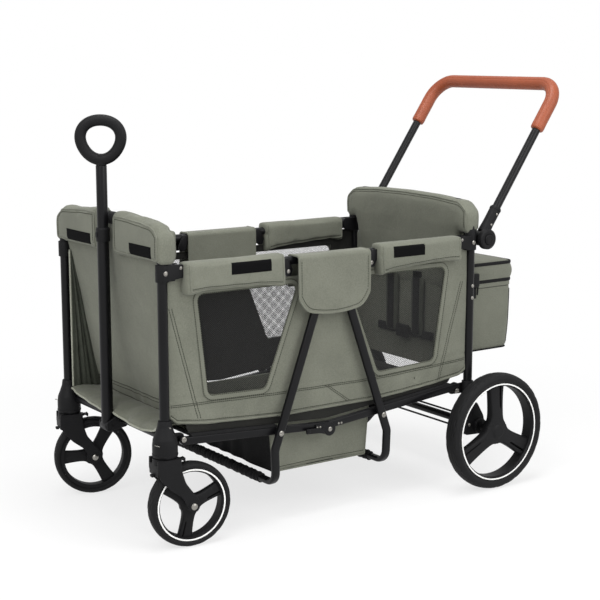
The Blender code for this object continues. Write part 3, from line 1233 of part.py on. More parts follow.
def bag_lid():
    front, back = BAG_FRONT + 0.004, BAG_FRONT + BAG_DEPTH + 0.006
    low = BAG_RIM - 0.012 + SEAT
    body = plate([tuple(p) for p in softened([(front, low - 0.02), (back, low - 0.02),
                                              (back + 0.003, BAG_TOP - 0.012), (front, BAG_TOP)], 0.014, 3)],
                 -BAG_HALF_W - 0.004, BAG_HALF_W + 0.004, edge=0.010, edge_steps=2)
    hollow = box((front + 0.006, -BAG_HALF_W + 0.004, low - 0.03), (back - 0.006, BAG_HALF_W - 0.004, BAG_TOP - 0.018))
    level = box((front - 0.02, -0.3, low - 0.05), (back + 0.02, 0.3, low))
    return cut(body, level, hollow)


def joint_axes():
    """The empties on the joints, in the order in which they carry each other."""
    joint_axis("rear_floor_axis", (XR - FLOOR_PIVOT_INSET, 0, FLOOR_PIVOT_HEIGHT))
    joint_axis("front_floor_axis", (XM, 0, FLOOR_HINGE_HEIGHT), "rear_floor_axis")
    joint_axis("front_frame_axis", (XF + FLOOR_PIVOT_INSET, 0, FLOOR_PIVOT_HEIGHT), "front_floor_axis")
    joint_axis("rear_top_axis", (XR - TOP_PIVOT_INSET, 0, TOP_PIVOT_HEIGHT))
    joint_axis("middle_top_axis", (MID_PIVOT["rear"], 0, TOP_MID_PIVOT_HEIGHT), "rear_top_axis")
    joint_axis("front_top_axis", (XF + TOP_PIVOT_INSET, 0, TOP_PIVOT_HEIGHT), "front_frame_axis")
    for end, sign in ENDS.items():
        joint_axis(f"{end}_leg_axis", (XM + sign * LEG_BOLT[0], 0, LEG_BOLT[1]), f"{end}_floor_axis")
    for side, sign in SIDE.items():
        joint_axis(f"{side}_latch_axis", (XM - 0.062, sign * RAIL_OUT, HINGE_MID - 0.004), "front_floor_axis")
    joint_axis("push_axis", (PUSH_PIVOT[0], 0, PUSH_PIVOT[1]))
    for side, sign in SIDE.items():
        joint_axis(f"{side}_button_axis", (PUSH_PIVOT[0], sign * HUB_OUT, PUSH_PIVOT[1]), "push_axis")
    joint_axis("pull_hinge_axis", (PULL_X, 0, PULL_HINGE_HEIGHT), "front_frame_axis")
    joint_axis("pull_slide_axis", (PULL_X, 0, PULL_OUTER_TOP), "pull_hinge_axis")
    joint_axis("pull_twist_axis", (PULL_X, 0, PULL_INNER_TOP), "pull_slide_axis")
    joint_axis("brake_axis", (BRAKE_ROD[0], 0, BRAKE_ROD[1]))
    joint_axis("bag_lid_axis", (BAG_FRONT + 0.004, 0, BAG_TOP))


start()
joint_axes()
end_frames()
lower_housings()
rear_axle()
brake_bar()
rear_wheels()
casters()
pull_hinge_bracket()
pull_handle()
push_handle()
floor_halves()
fold_latches()
top_rails()
leg_frames()
side_cloths()
end_cloths()
harness()
node("footwell", SAGE, [footwell()], "rear_leg_axis")
node("storage_bag", SAGE, [storage_bag()])
node("bag_lid", SAGE, [bag_lid()], "bag_lid_axis")
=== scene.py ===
import math

import bmesh
import bpy
import numpy as np
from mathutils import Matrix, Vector
from mathutils.bvhtree import BVHTree


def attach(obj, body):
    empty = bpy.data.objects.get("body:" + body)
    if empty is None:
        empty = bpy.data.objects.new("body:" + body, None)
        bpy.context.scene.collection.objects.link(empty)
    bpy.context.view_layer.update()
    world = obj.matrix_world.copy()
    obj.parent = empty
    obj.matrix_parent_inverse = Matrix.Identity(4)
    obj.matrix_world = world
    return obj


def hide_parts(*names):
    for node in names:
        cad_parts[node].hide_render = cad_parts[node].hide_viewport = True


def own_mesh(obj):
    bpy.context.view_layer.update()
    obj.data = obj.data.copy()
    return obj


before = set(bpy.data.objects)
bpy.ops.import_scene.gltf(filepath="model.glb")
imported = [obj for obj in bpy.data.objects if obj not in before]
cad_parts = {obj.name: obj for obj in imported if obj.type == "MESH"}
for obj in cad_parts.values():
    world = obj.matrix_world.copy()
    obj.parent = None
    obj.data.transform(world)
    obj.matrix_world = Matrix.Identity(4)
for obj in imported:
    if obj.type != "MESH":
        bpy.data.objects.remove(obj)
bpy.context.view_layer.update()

# Camera, studio and floor. The camera stands in front of the left front caster and looks
# towards the rear right, a little down. The floor is white paper under even, soft light.
VIEW_TURN, VIEW_TILT = 34.785, 10.042      # degrees from +Y towards +X, and down
camera = bpy.data.objects.new("camera", bpy.data.cameras.new("camera"))
camera.data.lens = 84.45
camera.location = (-1.9787, -2.7996, 1.0675)
camera.rotation_euler = (math.radians(90 - VIEW_TILT), 0, math.radians(-VIEW_TURN))
bpy.context.scene.collection.objects.link(camera)
bpy.context.scene.camera = camera
bpy.context.scene.view_settings.view_transform = "Standard"


def linear(code):
    """sRGB hex to linear: c / 12.92 up to 0.04045, else ((c + 0.055) / 1.055) to the power 2.4."""
    c = np.array([int(code[i:i + 2], 16) for i in (1, 3, 5)]) / 255
    return (*np.where(c <= 0.04045, c / 12.92, ((c + 0.055) / 1.055) ** 2.4), 1.0)


def shade(tree, kind, feeds=None, **settings):
    """Adds one shader node. Settings are its properties; feeds are its inputs, values or other sockets."""
    made = tree.nodes.new("ShaderNode" + kind)
    for key, value in settings.items():
        setattr(made, key, value)
    for key, value in (feeds or {}).items():
        if isinstance(value, bpy.types.NodeSocket):
            tree.links.new(value, made.inputs[key])
        else:
            made.inputs[key].default_value = value
    return made


def bare(name):
    """A new material with its Principled shader: (material, tree, shader)."""
    made = bpy.data.materials.new(name)
    made.use_nodes = True
    return made, made.node_tree, made.node_tree.nodes["Principled BSDF"]


def seen(tree):
    """1 for camera, mirror and see-through rays, else 0."""
    path = shade(tree, "LightPath").outputs
    mirror = shade(tree, "Math", {0: path["Is Camera Ray"], 1: path["Is Glossy Ray"]}, operation="MAXIMUM")
    return shade(tree, "Math", {0: mirror.outputs[0], 1: path["Is Transmission Ray"]},
                 operation="MAXIMUM").outputs[0]


paper, tree, shader = bare("white_paper_floor")
shader.inputs["Base Color"].default_value = linear("#f7f7f7")
shader.inputs["Roughness"].default_value = 0.9
shader.inputs["Specular IOR Level"].default_value = 0.1
# The paper glows a little, and wholly so from 1.6 m out, so that it runs into the background.
far = shade(tree, "VectorMath", {0: shade(tree, "TexCoord").outputs["Object"]}, operation="LENGTH")
spread = shade(tree, "MapRange",
               {"Value": far.outputs["Value"], "From Min": 0.7, "From Max": 1.6, "To Min": 0.72, "To Max": 1.0})
share = shade(tree, "Math", {0: spread.outputs[0], 1: seen(tree)}, operation="MULTIPLY")
glow = shade(tree, "Emission", {"Color": (1, 1, 1, 1), "Strength": 1.0})
mixed = shade(tree, "MixShader", {0: share.outputs[0], 1: shader.outputs[0], 2: glow.outputs[0]})
tree.links.new(mixed.outputs[0], tree.nodes["Material Output"].inputs["Surface"])
floor_mesh = bpy.data.meshes.new("floor")
floor_mesh.from_pydata([(-14, -14, 0), (14, -14, 0), (14, 14, 0), (-14, 14, 0)], [], [(0, 1, 2, 3)])
floor_mesh.materials.append(paper)
floor = bpy.data.objects.new("floor", floor_mesh)
bpy.context.scene.collection.objects.link(floor)

world = bpy.data.worlds.new("studio")
bpy.context.scene.world = world
world.use_nodes = True
tree = world.node_tree
SKY_LIGHT = 0.46
strength = shade(tree, "MapRange", {"Value": seen(tree), "To Min": SKY_LIGHT, "To Max": 1.0})
tree.links.new(strength.outputs[0], tree.nodes["Background"].inputs["Strength"])
tree.nodes["Background"].inputs["Color"].default_value = (1, 1, 1, 1)
# Soft boxes: a key from the front left, one from the camera's right, and one overhead.
for name, place, size, power in (("key", (-2.6, -1.4, 2.6), 1.8, 50), ("side", (0.9, -3.2, 2.2), 2.4, 56),
                                 ("top", (-0.2, -0.4, 3.4), 1.6, 58)):
    lamp = bpy.data.lights.new(name, "AREA")
    lamp.size, lamp.energy = size, power
    holder = bpy.data.objects.new(name, lamp)
    holder.location = place
    holder.rotation_euler = (Vector((0, 0, 0.4)) - Vector(place)).to_track_quat("-Z", "Y").to_euler()
    bpy.context.scene.collection.objects.link(holder)


# End frames: each is one round steel tube, bent over the top, with a black powder coat.
# The coat is satin, with a fine orange peel.
def wired(made, tree, shader, tone, rough, bump):
    """Joins colour, roughness and bump nodes to the shader."""
    for key, socket in (("Base Color", tone.outputs[2]), ("Roughness", rough.outputs[0]),
                        ("Normal", bump.outputs[0])):
        tree.links.new(socket, shader.inputs[key])
    return made


def mottled(name, dark, light, grain, cloud, rough, bump, mirror):
    """A coat or a moulding. A fine noise (scale, detail) gives the grain, a broad one tone and gloss."""
    made, tree, shader = bare(name)
    place = shade(tree, "TexCoord").outputs["Object"]
    fine = shade(tree, "TexNoise", {"Vector": place, "Scale": grain[0], "Detail": grain[1]})
    broad = shade(tree, "TexNoise", {"Vector": place, "Scale": cloud[0], "Detail": cloud[1]})
    tone = shade(tree, "Mix", {0: broad.outputs[0], 6: linear(dark), 7: linear(light)}, data_type="RGBA")
    gloss = shade(tree, "MapRange", {"Value": broad.outputs[0], "To Min": rough[0], "To Max": rough[1]})
    lift = shade(tree, "Bump", {"Height": fine.outputs[0], "Strength": bump, "Distance": 0.0004})
    shader.inputs["Specular IOR Level"].default_value = mirror
    return wired(made, tree, shader, tone, gloss, lift)


# Orange peel of about 1 mm.
COATED = mottled("powder_coated_steel", "#08080a", "#101012", (900.0, 2.0), (14.0, 4.0), (0.27, 0.40), 0.10,
                 0.20)
XF, XR, XM, HALF = -0.550229, 0.309771, -0.120229, 0.235      # posts, middle, and half the gauge
SIDES = {"left": -1, "right": 1}
POST_R = 0.011


def shell(points, wrap_rows=False, wrap_columns=False, caps=""):
    """Vertices and faces of an (n, m, 3) grid.
    caps: "fan" closes both ends to their middle, "flat" with one face."""
    n, m = points.shape[:2]
    i, j = np.meshgrid(np.arange(n - (not wrap_rows)), np.arange(m - (not wrap_columns)), indexing="ij")
    ahead, beside = (i + 1) % n, (j + 1) % m
    faces = np.stack([i * m + j, i * m + beside, ahead * m + beside, ahead * m + j], -1).reshape(-1, 4).tolist()
    verts = points.reshape(-1, 3)
    ring = np.arange(m)
    if caps == "flat":
        faces += [ring[::-1].tolist(), (ring + (n - 1) * m).tolist()]
    if caps == "fan":
        verts = np.vstack([verts, points[0].mean(0), points[-1].mean(0)])
        faces += np.stack([np.full(m, n * m), (ring + 1) % m, ring], -1).tolist()
        last = ring + (n - 1) * m
        faces += np.stack([np.full(m, n * m + 1), last, np.roll(last, -1)], -1).tolist()
    return verts, faces


def piece(name, shells, finish, body=None, replaces=(), sharp=38, recalculate=True):
    """One object from several shells: seams welded, faces outward, smooth up to the sharp angle."""
    verts, faces, start = [], [], 0
    for v, f in shells:
        verts.append(v)
        faces += [[k + start for k in face] for face in f]
        start += len(v)
    mesh = bpy.data.meshes.new(name)
    mesh.from_pydata(np.vstack(verts).tolist(), [], faces)
    bm = bmesh.new()
    bm.from_mesh(mesh)
    bmesh.ops.remove_doubles(bm, verts=bm.verts, dist=2e-6)
    bmesh.ops.dissolve_degenerate(bm, edges=bm.edges, dist=1e-7)
    if recalculate:
        bmesh.ops.recalc_face_normals(bm, faces=bm.faces)
    bm.to_mesh(mesh)
    bm.free()
    mesh.materials.append(finish)
    mesh.shade_smooth()
    mesh.set_sharp_from_angle(angle=math.radians(sharp))
    made = bpy.data.objects.new(name, mesh)
    bpy.context.scene.collection.objects.link(made)
    if body:
        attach(made, body)
    if replaces:
        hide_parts(*replaces)
    return made


def bends(corners, radius, steps=8, closed=False):
    """A polyline whose corners are arcs: each leaves its corner by radius / tan(half the angle)."""
    corners = np.array(corners, float)
    radius = np.broadcast_to(radius, len(corners))
    out = []
    for k, here in enumerate(corners):
        if not closed and k in (0, len(corners) - 1):
            out.append(here[None])
            continue
        back, ahead = corners[k - 1] - here, corners[(k + 1) % len(corners)] - here
        lb, la = np.linalg.norm(back), np.linalg.norm(ahead)
        back, ahead = back / lb, ahead / la
        half = math.acos(np.clip(back @ ahead, -1, 1)) / 2
        reach = min(radius[k] / math.tan(half), 0.48 * lb, 0.48 * la)
        r = reach * math.tan(half)
        middle = here + (back + ahead) / np.linalg.norm(back + ahead) * r / math.sin(half)
        a, b = here + back * reach - middle, here + ahead * reach - middle
        turn = math.acos(np.clip(a @ b / (r * r), -1, 1))
        t = np.linspace(0, 1, steps + 1)[:, None]
        out.append(middle + (a * np.sin((1 - t) * turn) + b * np.sin(t * turn)) / math.sin(turn))
    return np.vstack(out)


def swept(route, section, up=(0, 0, 1), closed=False, grow=None):
    """A section (m, 2) carried along a route: point + s0 * side + s1 * up.
    The frame turns as little as possible."""
    route = np.array(route, float)
    if closed:
        ahead = np.roll(route, -1, 0) - np.roll(route, 1, 0)
    else:
        ahead = np.gradient(route, axis=0)
    ahead /= np.linalg.norm(ahead, axis=1)[:, None]
    ups, held = [], np.array(up, float)
    for t in ahead:
        held = held - (held @ t) * t
        held /= np.linalg.norm(held)
        ups.append(held)
    ups = np.array(ups)
    side = np.cross(ahead, ups)
    section = np.broadcast_to(section, (len(route), *np.shape(section)[-2:]))
    if grow is not None:
        section = section * np.asarray(grow)[:, None, None]
    points = route[:, None] + section[..., :1] * side[:, None] + section[..., 1:] * ups[:, None]
    return shell(points, wrap_rows=closed, wrap_columns=True, caps="" if closed else "fan")


def disc(radius, steps=28):
    """Points on a circle."""
    t = np.linspace(0, 2 * math.pi, steps, endpoint=False)
    return np.stack([np.cos(t), np.sin(t)], -1) * radius


def end_route(x, set_back, foot):
    """Axis of an end frame from the left foot over the arch to the right foot."""
    shoulder, tuck, arch = 0.658, HALF - 0.028, 0.700
    return bends([(x, -HALF, foot), (x, -HALF, shoulder), (x + set_back, -tuck, arch),
                  (x + set_back, tuck, arch), (x, HALF, shoulder), (x, HALF, foot)], 0.036)


for end, x, set_back, foot in (("front", XF, 0.012, 0.2553), ("rear", XR, 0.0, 0.1753)):
    piece(f"{end}_arch_tube", [swept(end_route(x, set_back, foot), disc(POST_R), up=(1, 0, 0))],
          COATED, f"{end}_frame", [f"{end}_frame_tube"])


# Top brackets: moulded nylon clamps round the posts, with two cheeks that hold the side
# rails' pins. Nylon with glass fibre, from a spark-eroded mould: dull, with a fine grain.
# How far the rails' pins sit inwards of the posts.
TOP_PIN_IN, FLOOR_PIN_IN = 0.038, 0.042
AXES = {"Y": ((1, 0, 0), (0, 0, 1), (0, 1, 0)), "Z": ((1, 0, 0), (0, 1, 0), (0, 0, 1))}


def turned(profile, centre, axis="Z", steps=48):
    """A (radius, height) profile turned about an axis; ends on the axis close themselves."""
    profile = np.array(profile, float)
    u, v, w = (np.array(a, float) for a in AXES[axis])
    round_it = disc(1.0, steps)
    ring = round_it[:, :1] * u + round_it[:, 1:] * v
    points = profile[:, None, :1] * ring + profile[:, None, 1:] * w + np.array(centre)
    return shell(points, wrap_columns=True)


def soft_turned(profile, centre, axis="Z", steps=48, radius=0.001):
    """The same with rounded profile corners."""
    return turned(bends(profile, radius, 3), centre, axis, steps)


def pin(radius, start, stop, centre, axis, steps, edge):
    """A solid round bar between two places along an axis, with rounded rims."""
    return soft_turned([(0, start), (radius, start), (radius, stop), (0, stop)], centre, axis, steps, edge)


def signed_area(loop):
    """Twice the area inside a flat loop, positive when it runs counterclockwise."""
    return (loop[:, 0] * np.roll(loop[:, 1], -1) - np.roll(loop[:, 0], -1) * loop[:, 1]).sum()


def outline_slab(outline, low, high, edge=0.001, steps=3):
    """A closed flat outline between two depths, its edges rounded: rings step inwards by edge * (1 - sin)."""
    outline = np.array(outline, float)
    ahead = np.roll(outline, -1, 0) - np.roll(outline, 1, 0)
    out = np.stack([ahead[:, 1], -ahead[:, 0]], -1) / np.linalg.norm(ahead, axis=1)[:, None]
    out *= 1 if signed_area(outline) > 0 else -1
    t = np.linspace(0, math.pi / 2, steps + 1)
    depth = np.concatenate([low + edge * (1 - np.cos(t)), high - edge * (1 - np.cos(t[::-1]))])
    inset = np.concatenate([edge * (1 - np.sin(t)), edge * (1 - np.sin(t[::-1]))])
    flat = outline[None] - out[None] * inset[:, None, None]
    depths = np.broadcast_to(depth[:, None], flat.shape[:2])
    return shell(np.stack([flat[..., 0], depths, flat[..., 1]], -1), wrap_columns=True, caps="flat")


def rounded_box(low, high, radius=0.002, steps=4):
    """A box with round edges: middle + sign(n) * (half - r) + r * n over the directions n of a sphere."""
    low, high = np.array(low, float), np.array(high, float)
    radius = min(radius, 0.499 * (high - low).min())
    quarter = np.linspace(0, math.pi / 2, steps + 1)
    polar = np.concatenate([quarter, math.pi / 2 + quarter])
    upper = np.repeat([1.0, -1.0], steps + 1)
    turn = np.concatenate([quarter + k * math.pi / 2 for k in range(4)])
    sx = np.repeat([1.0, -1.0, -1.0, 1.0], steps + 1)
    sy = np.repeat([1.0, 1.0, -1.0, -1.0], steps + 1)
    n = np.stack([np.outer(np.sin(polar), np.cos(turn)), np.outer(np.sin(polar), np.sin(turn)),
                  np.outer(np.cos(polar), np.ones_like(turn))], -1)
    sign = np.stack([np.outer(np.ones_like(polar), sx), np.outer(np.ones_like(polar), sy),
                     np.outer(upper, np.ones_like(turn))], -1)
    return shell((low + high) / 2 + sign * ((high - low) / 2 - radius) + radius * n, wrap_columns=True,
                 caps="flat")


def mirrored(shells):
    """The same shells on the other side of Y = 0, with their faces turned round."""
    return [(np.array(v) * (1, -1, 1), [face[::-1] for face in f]) for v, f in shells]


def on_side(shells, sign):
    """Shells made for the left side, mirrored where the sign is the right side's."""
    return mirrored(shells) if sign > 0 else shells


def both(shells):
    """The shells and their mirror images."""
    return [*shells, *mirrored(shells)]


def zinc_steel():
    made, tree, shader = bare("zinc_plated_steel")
    place = shade(tree, "TexCoord").outputs["Object"]
    wear = shade(tree, "TexNoise", {"Vector": place, "Scale": 600.0, "Detail": 3.0})
    tone = shade(tree, "Mix", {0: wear.outputs[0], 6: linear("#75736e"), 7: linear("#a8a59f")},
                 data_type="RGBA")
    rough = shade(tree, "MapRange", {"Value": wear.outputs[0], "To Min": 0.22, "To Max": 0.42})
    tree.links.new(tone.outputs[2], shader.inputs["Base Color"])
    tree.links.new(rough.outputs[0], shader.inputs["Roughness"])
    shader.inputs["Metallic"].default_value = 1.0
    return made


# Mould grain of about 0.7 mm.
NYLON = mottled("moulded_nylon", "#0c0c0d", "#151517", (1400.0, 3.0), (22.0, 3.0), (0.50, 0.64), 0.18, 0.18)
ZINC = zinc_steel()


def screw_head(x, y, z, radius, outward, steps=20):
    """A domed head with a cross recess, on a face that looks along -Y or +Y."""
    rings, tall = 7, radius * 0.45
    r = np.linspace(0, 1, rings)
    t = np.linspace(0, 2 * math.pi, steps, endpoint=False)
    rr, tt = np.meshgrid(r, t, indexing="ij")
    px, pz = rr * np.cos(tt) * radius, rr * np.sin(tt) * radius
    arm = radius * 0.16
    cross = ((np.abs(px) < arm) | (np.abs(pz) < arm)) & (rr < 0.62)
    high = tall * np.sqrt(np.clip(1 - (rr * 0.92) ** 2, 0, 1)) - cross * tall * 0.45
    top = np.stack([x + px, y + outward * high, z + pz], -1)
    base = np.stack([x + px[-1], np.full(steps, y - outward * 0.0006), z + pz[-1]], -1)[None]
    return shell(np.vstack([top, base]), wrap_columns=True, caps="flat")


PIVOT_Z, MID_Z, RAIL_Z = 0.618, 0.585, 0.607
MID_X = {"front": XM - 0.1165, "rear": XM + 0.1165}
bolts = {"rear_frame": [], "front_frame": []}
for end, body, x, inward, top in (("front", "front_frame", XF, 1, 0.6245),
                                  ("rear", "rear_frame", XR, -1, 0.6390)):
    pivot = x + inward * TOP_PIN_IN
    cheek_out, cheek_in = HALF + 0.0135, HALF - 0.0135
    clamp = [soft_turned([(0.0112, 0.5882), (0.0145, 0.5882), (0.0145, top), (0.0112, top)], (x, -HALF, 0),
                         radius=0.0012)]
    arm = bends([(x, 0.5895), (pivot + inward * 0.0065, 0.5955), (pivot + inward * 0.0098, PIVOT_Z - 0.001),
                 (pivot + inward * 0.004, PIVOT_Z + 0.0064), (x, PIVOT_Z + 0.0064)], 0.0045, 4, closed=True)
    for outer, inner in ((-cheek_out, -cheek_out + 0.0030), (-cheek_in - 0.0030, -cheek_in)):
        clamp.append(outline_slab(arm, outer, inner, edge=0.0009))
    block = sorted((x, pivot - inward * 0.0136))
    clamp.append(rounded_box((block[0], -cheek_out + 0.0004, 0.5898),
                             (block[1], -cheek_in - 0.0004, PIVOT_Z + 0.006), 0.0015))
    piece(f"{end}_top_brackets", both(clamp), NYLON, body)
    head = [screw_head(x + inward * 0.001, -cheek_out - 0.0002, 0.6075, 0.0052, -1),
            screw_head(pivot, -cheek_out - 0.0002, PIVOT_Z - 0.0015, 0.0036, -1)]
    bolts[body] += both(head)


# Lower mouldings: nylon cones over the feet of the front posts and blocks at the rear ones.
# Each has a lug with a riveted pin for the floor rail; a steel rail and a rod tie the sides.
FORK_TOP, FLOOR_PIVOT_Z = 0.2075, 0.241
cone = soft_turned(
    [(0.0112, 0.2565), (0.0112, 0.2880), (0.0145, 0.2880), (0.0162, 0.2750), (0.0215, 0.2600), (0.0262, 0.2480),
                    (0.0277, 0.2350), (0.0277, FORK_TOP + 0.0006), (0, FORK_TOP + 0.0006)], (XF, -HALF, 0),
                    steps=64, radius=0.0035)
collar = soft_turned([(0.0270, 0.2130), (0.0284, 0.2130), (0.0284, 0.2165), (0.0270, 0.2165)], (XF, -HALF, 0),
                     steps=64, radius=0.0006)


def lug(x, inward):
    """A tongue from a housing to the floor rail's pin, rounded at its end."""
    pivot = x + inward * FLOOR_PIN_IN
    tongue = bends(
        [(x + inward * 0.004, 0.228), (pivot + inward * 0.011, 0.2300), (pivot + inward * 0.011, 0.2520),
                    (x + inward * 0.004, 0.2550)], (0.001, 0.0105, 0.0105, 0.001), 6, closed=True)
    return outline_slab(tongue, -HALF + 0.0078, -HALF + 0.0133, edge=0.0010)


piece("front_foot_mouldings", both([cone, collar, lug(XF, 1)]), NYLON, "front_frame")
cross_rail = swept([(XF + 0.012, -HALF + 0.012, 0.243), (XF + 0.012, HALF - 0.012, 0.243)], disc(0.008))
piece("front_cross_rail", [cross_rail], COATED, "front_frame", ["front_lower_housings"])
rivet_face = -HALF - 0.0098
for body, x, inward in (("front_frame", XF, 1), ("rear_frame", XR, -1)):
    bolts[body] += both([screw_head(x + inward * FLOOR_PIN_IN, rivet_face + 0.0005, FLOOR_PIVOT_Z, 0.0062, -1)])
bolts["front_frame"] += both([screw_head(XF + 0.003, -HALF - 0.0147, 0.2712, 0.0045, -1)])
# A bent wire clip lies across the front of each cone.
hook = bends([(XF - 0.0260, -HALF - 0.004, 0.2395), (XF - 0.0315, -HALF - 0.012, 0.2400),
              (XF - 0.024, -HALF - 0.0205, 0.2385)], 0.004)
bolts["front_frame"] += both([swept(hook, disc(0.0008, 8))])

AXLE_X, AXLE_Z, ROD_X = XR + 0.025, 0.145, XR + 0.012
block = bends([(XR - 0.017, 0.206), (XR - 0.020, 0.126), (AXLE_X + 0.012, 0.123), (AXLE_X + 0.021, AXLE_Z),
               (AXLE_X + 0.014, 0.171), (XR + 0.018, 0.206)], 0.009, 5, closed=True)
rear_foot = [outline_slab(block, -HALF - 0.0198, -HALF + 0.0198, edge=0.0035, steps=4),
             soft_turned([(0.0112, 0.1900), (0.0146, 0.1900), (0.0146, 0.2605), (0.0112, 0.2605)],
                         (XR, -HALF, 0), radius=0.001),
             soft_turned([(0, 0.0195), (0.0150, 0.0195), (0.0190, 0.0150), (0.0190, -0.0150), (0, -0.0150)],
                         (AXLE_X, -HALF - 0.012, AXLE_Z), "Y", 40, 0.002),
             lug(XR, -1)]
ribs = [outline_slab(bends(
    [(XR - 0.013 + k * 0.0085, 0.199), (XR - 0.013 + k * 0.0085, 0.176), (XR - 0.0095 + k * 0.0085, 0.176),
                            (XR - 0.0095 + k * 0.0085, 0.199)], 0.001, 2, closed=True), -HALF - 0.0210,
                     -HALF - 0.0190, edge=0.0006) for k in range(3)]
piece("rear_foot_mouldings", both(rear_foot + ribs), NYLON, "rear_frame")
bolts["rear_frame"] += both([screw_head(XR - 0.008, -HALF - 0.0197, 0.152, 0.0040, -1)])
stay = [swept([(ROD_X, -0.222, 0.130), (ROD_X, 0.222, 0.130)], disc(0.0025, 14))]
piece("rear_stay_rod", stay, COATED, "rear_frame", ["rear_lower_housings"])
axle = [pin(0.009, 0.2800, -0.2800, (AXLE_X, 0, AXLE_Z), "Y", 32, 0.0008),
        pin(0.005, 0.3250, -0.3250, (AXLE_X, 0, AXLE_Z), "Y", 24, 0.0006)]
piece("rear_axle_tube", axle, COATED, "rear_frame", ["rear_axle"])

# Brake bar: a thin steel rod through both rear blocks, with a nylon foot pedal on the right.
bar = [swept([(ROD_X, -0.222, 0.165), (ROD_X, 0.222, 0.165)], disc(0.0025, 14))]
arm = bends([(ROD_X - 0.006, 0.1700), (ROD_X - 0.050, 0.1535), (ROD_X - 0.057, 0.1430), (ROD_X - 0.046, 0.1430),
             (ROD_X + 0.003, 0.1590)],
            0.004, 4, closed=True)
bar += [outline_slab(arm, 0.1530, 0.1650, edge=0.0012),
        rounded_box((ROD_X - 0.066, 0.132, 0.1445), (ROD_X - 0.044, 0.186, 0.1525), 0.0032),
        pin(0.0082, 0.1500, 0.1680, (ROD_X, 0, 0.165), "Y", 24, 0.001)]
bar += [rounded_box((ROD_X - 0.0665, 0.136 + k * 0.008, 0.1440), (ROD_X - 0.0435, 0.1385 + k * 0.008, 0.1532),
                    0.0008, 2) for k in range(6)]
piece("brake_rod_and_pedal", bar, NYLON, "brake", ["brake_bar"])


# Wheels: foamed rubber tyres on deep moulded rims, each with three broad spokes that have a
# slot from half way to the rim, and a white ring pressed on the rim's outer lip.
def plain_gloss(name, code, roughness, bump_scale=500.0, bump=0.03, mirror=0.5):
    """Moulded plastic or paint of one colour with slight unevenness in gloss and surface."""
    made, tree, shader = bare(name)
    place = shade(tree, "TexCoord").outputs["Object"]
    cloud = shade(tree, "TexNoise", {"Vector": place, "Scale": bump_scale, "Detail": 2.0})
    rough = shade(tree, "MapRange",
                  {"Value": cloud.outputs[0], "To Min": roughness - 0.05, "To Max": roughness + 0.05})
    lift = shade(tree, "Bump", {"Height": cloud.outputs[0], "Strength": bump, "Distance": 0.0003})
    shader.inputs["Base Color"].default_value = linear(code)
    shader.inputs["Specular IOR Level"].default_value = mirror
    tree.links.new(rough.outputs[0], shader.inputs["Roughness"])
    tree.links.new(lift.outputs[0], shader.inputs["Normal"])
    return made


RUBBER = mottled("tyre_rubber", "#101011", "#1a1a1b", (700.0, 3.0), (35.0, 5.0), (0.58, 0.74), 0.12, 0.18)
WHITE_RING = plain_gloss("white_ring_abs", "#f4f4f2", 0.30)


def squared(wave, power):
    """A sine or cosine pushed towards a square wave: its size to a power, with its sign kept."""
    return np.sign(wave) * np.abs(wave) ** power


def resampled(line, count, closed=False):
    """Points at even steps of arc length along a polyline."""
    line = np.array(line, float)
    if closed:
        line = np.vstack([line, line[:1]])
    length = np.concatenate([[0], np.cumsum(np.linalg.norm(np.diff(line, axis=0), axis=1))])
    at = np.linspace(0, length[-1], count + closed)[:count]
    return np.stack([np.interp(at, length, line[:, k]) for k in range(line.shape[1])], -1)


def tyre(radius, rim, half, waves):
    """Crowned section turned about Y; the tread is lowered by two straight grooves and two wavy ones."""
    wall = radius - rim
    section = bends([(rim + 0.0003, half * 0.78), (rim + wall * 0.45, half),
                     (radius - wall * 0.13, half * 0.76), (radius, half * 0.20),
                     (radius, -half * 0.20), (radius - wall * 0.13, -half * 0.76), (rim + wall * 0.45, -half),
                     (rim + 0.0003, -half * 0.78)], (0.001, 0.008, 0.006, 0.03, 0.03, 0.006, 0.008, 0.001), 6,
                    closed=True)
    section = resampled(section, 72, closed=True)
    turn = np.linspace(0, 2 * math.pi, 16 * waves, endpoint=False)
    a, r = np.meshgrid(turn, section[:, 0], indexing="ij")
    y = np.broadcast_to(section[:, 1], a.shape)
    across = y / half
    tread = np.clip((r - rim - wall * 0.35) / (wall * 0.3), 0, 1)
    wave = 0.60 + 0.13 * squared(np.sin(waves * a), 0.5)
    cut = np.exp(-((np.abs(across) - wave) / 0.060) ** 2) + 0.8 * np.exp(
        -((np.abs(across) - 0.22) / 0.045) ** 2)
    side = 0.5 * np.exp(-((r - rim - wall * 0.30) / (wall * 0.045)) ** 2)
    r = r - 0.0013 * tread * cut - 0.0007 * side
    return shell(np.stack([r * np.cos(a), y, r * np.sin(a)], -1), wrap_rows=True, wrap_columns=True)


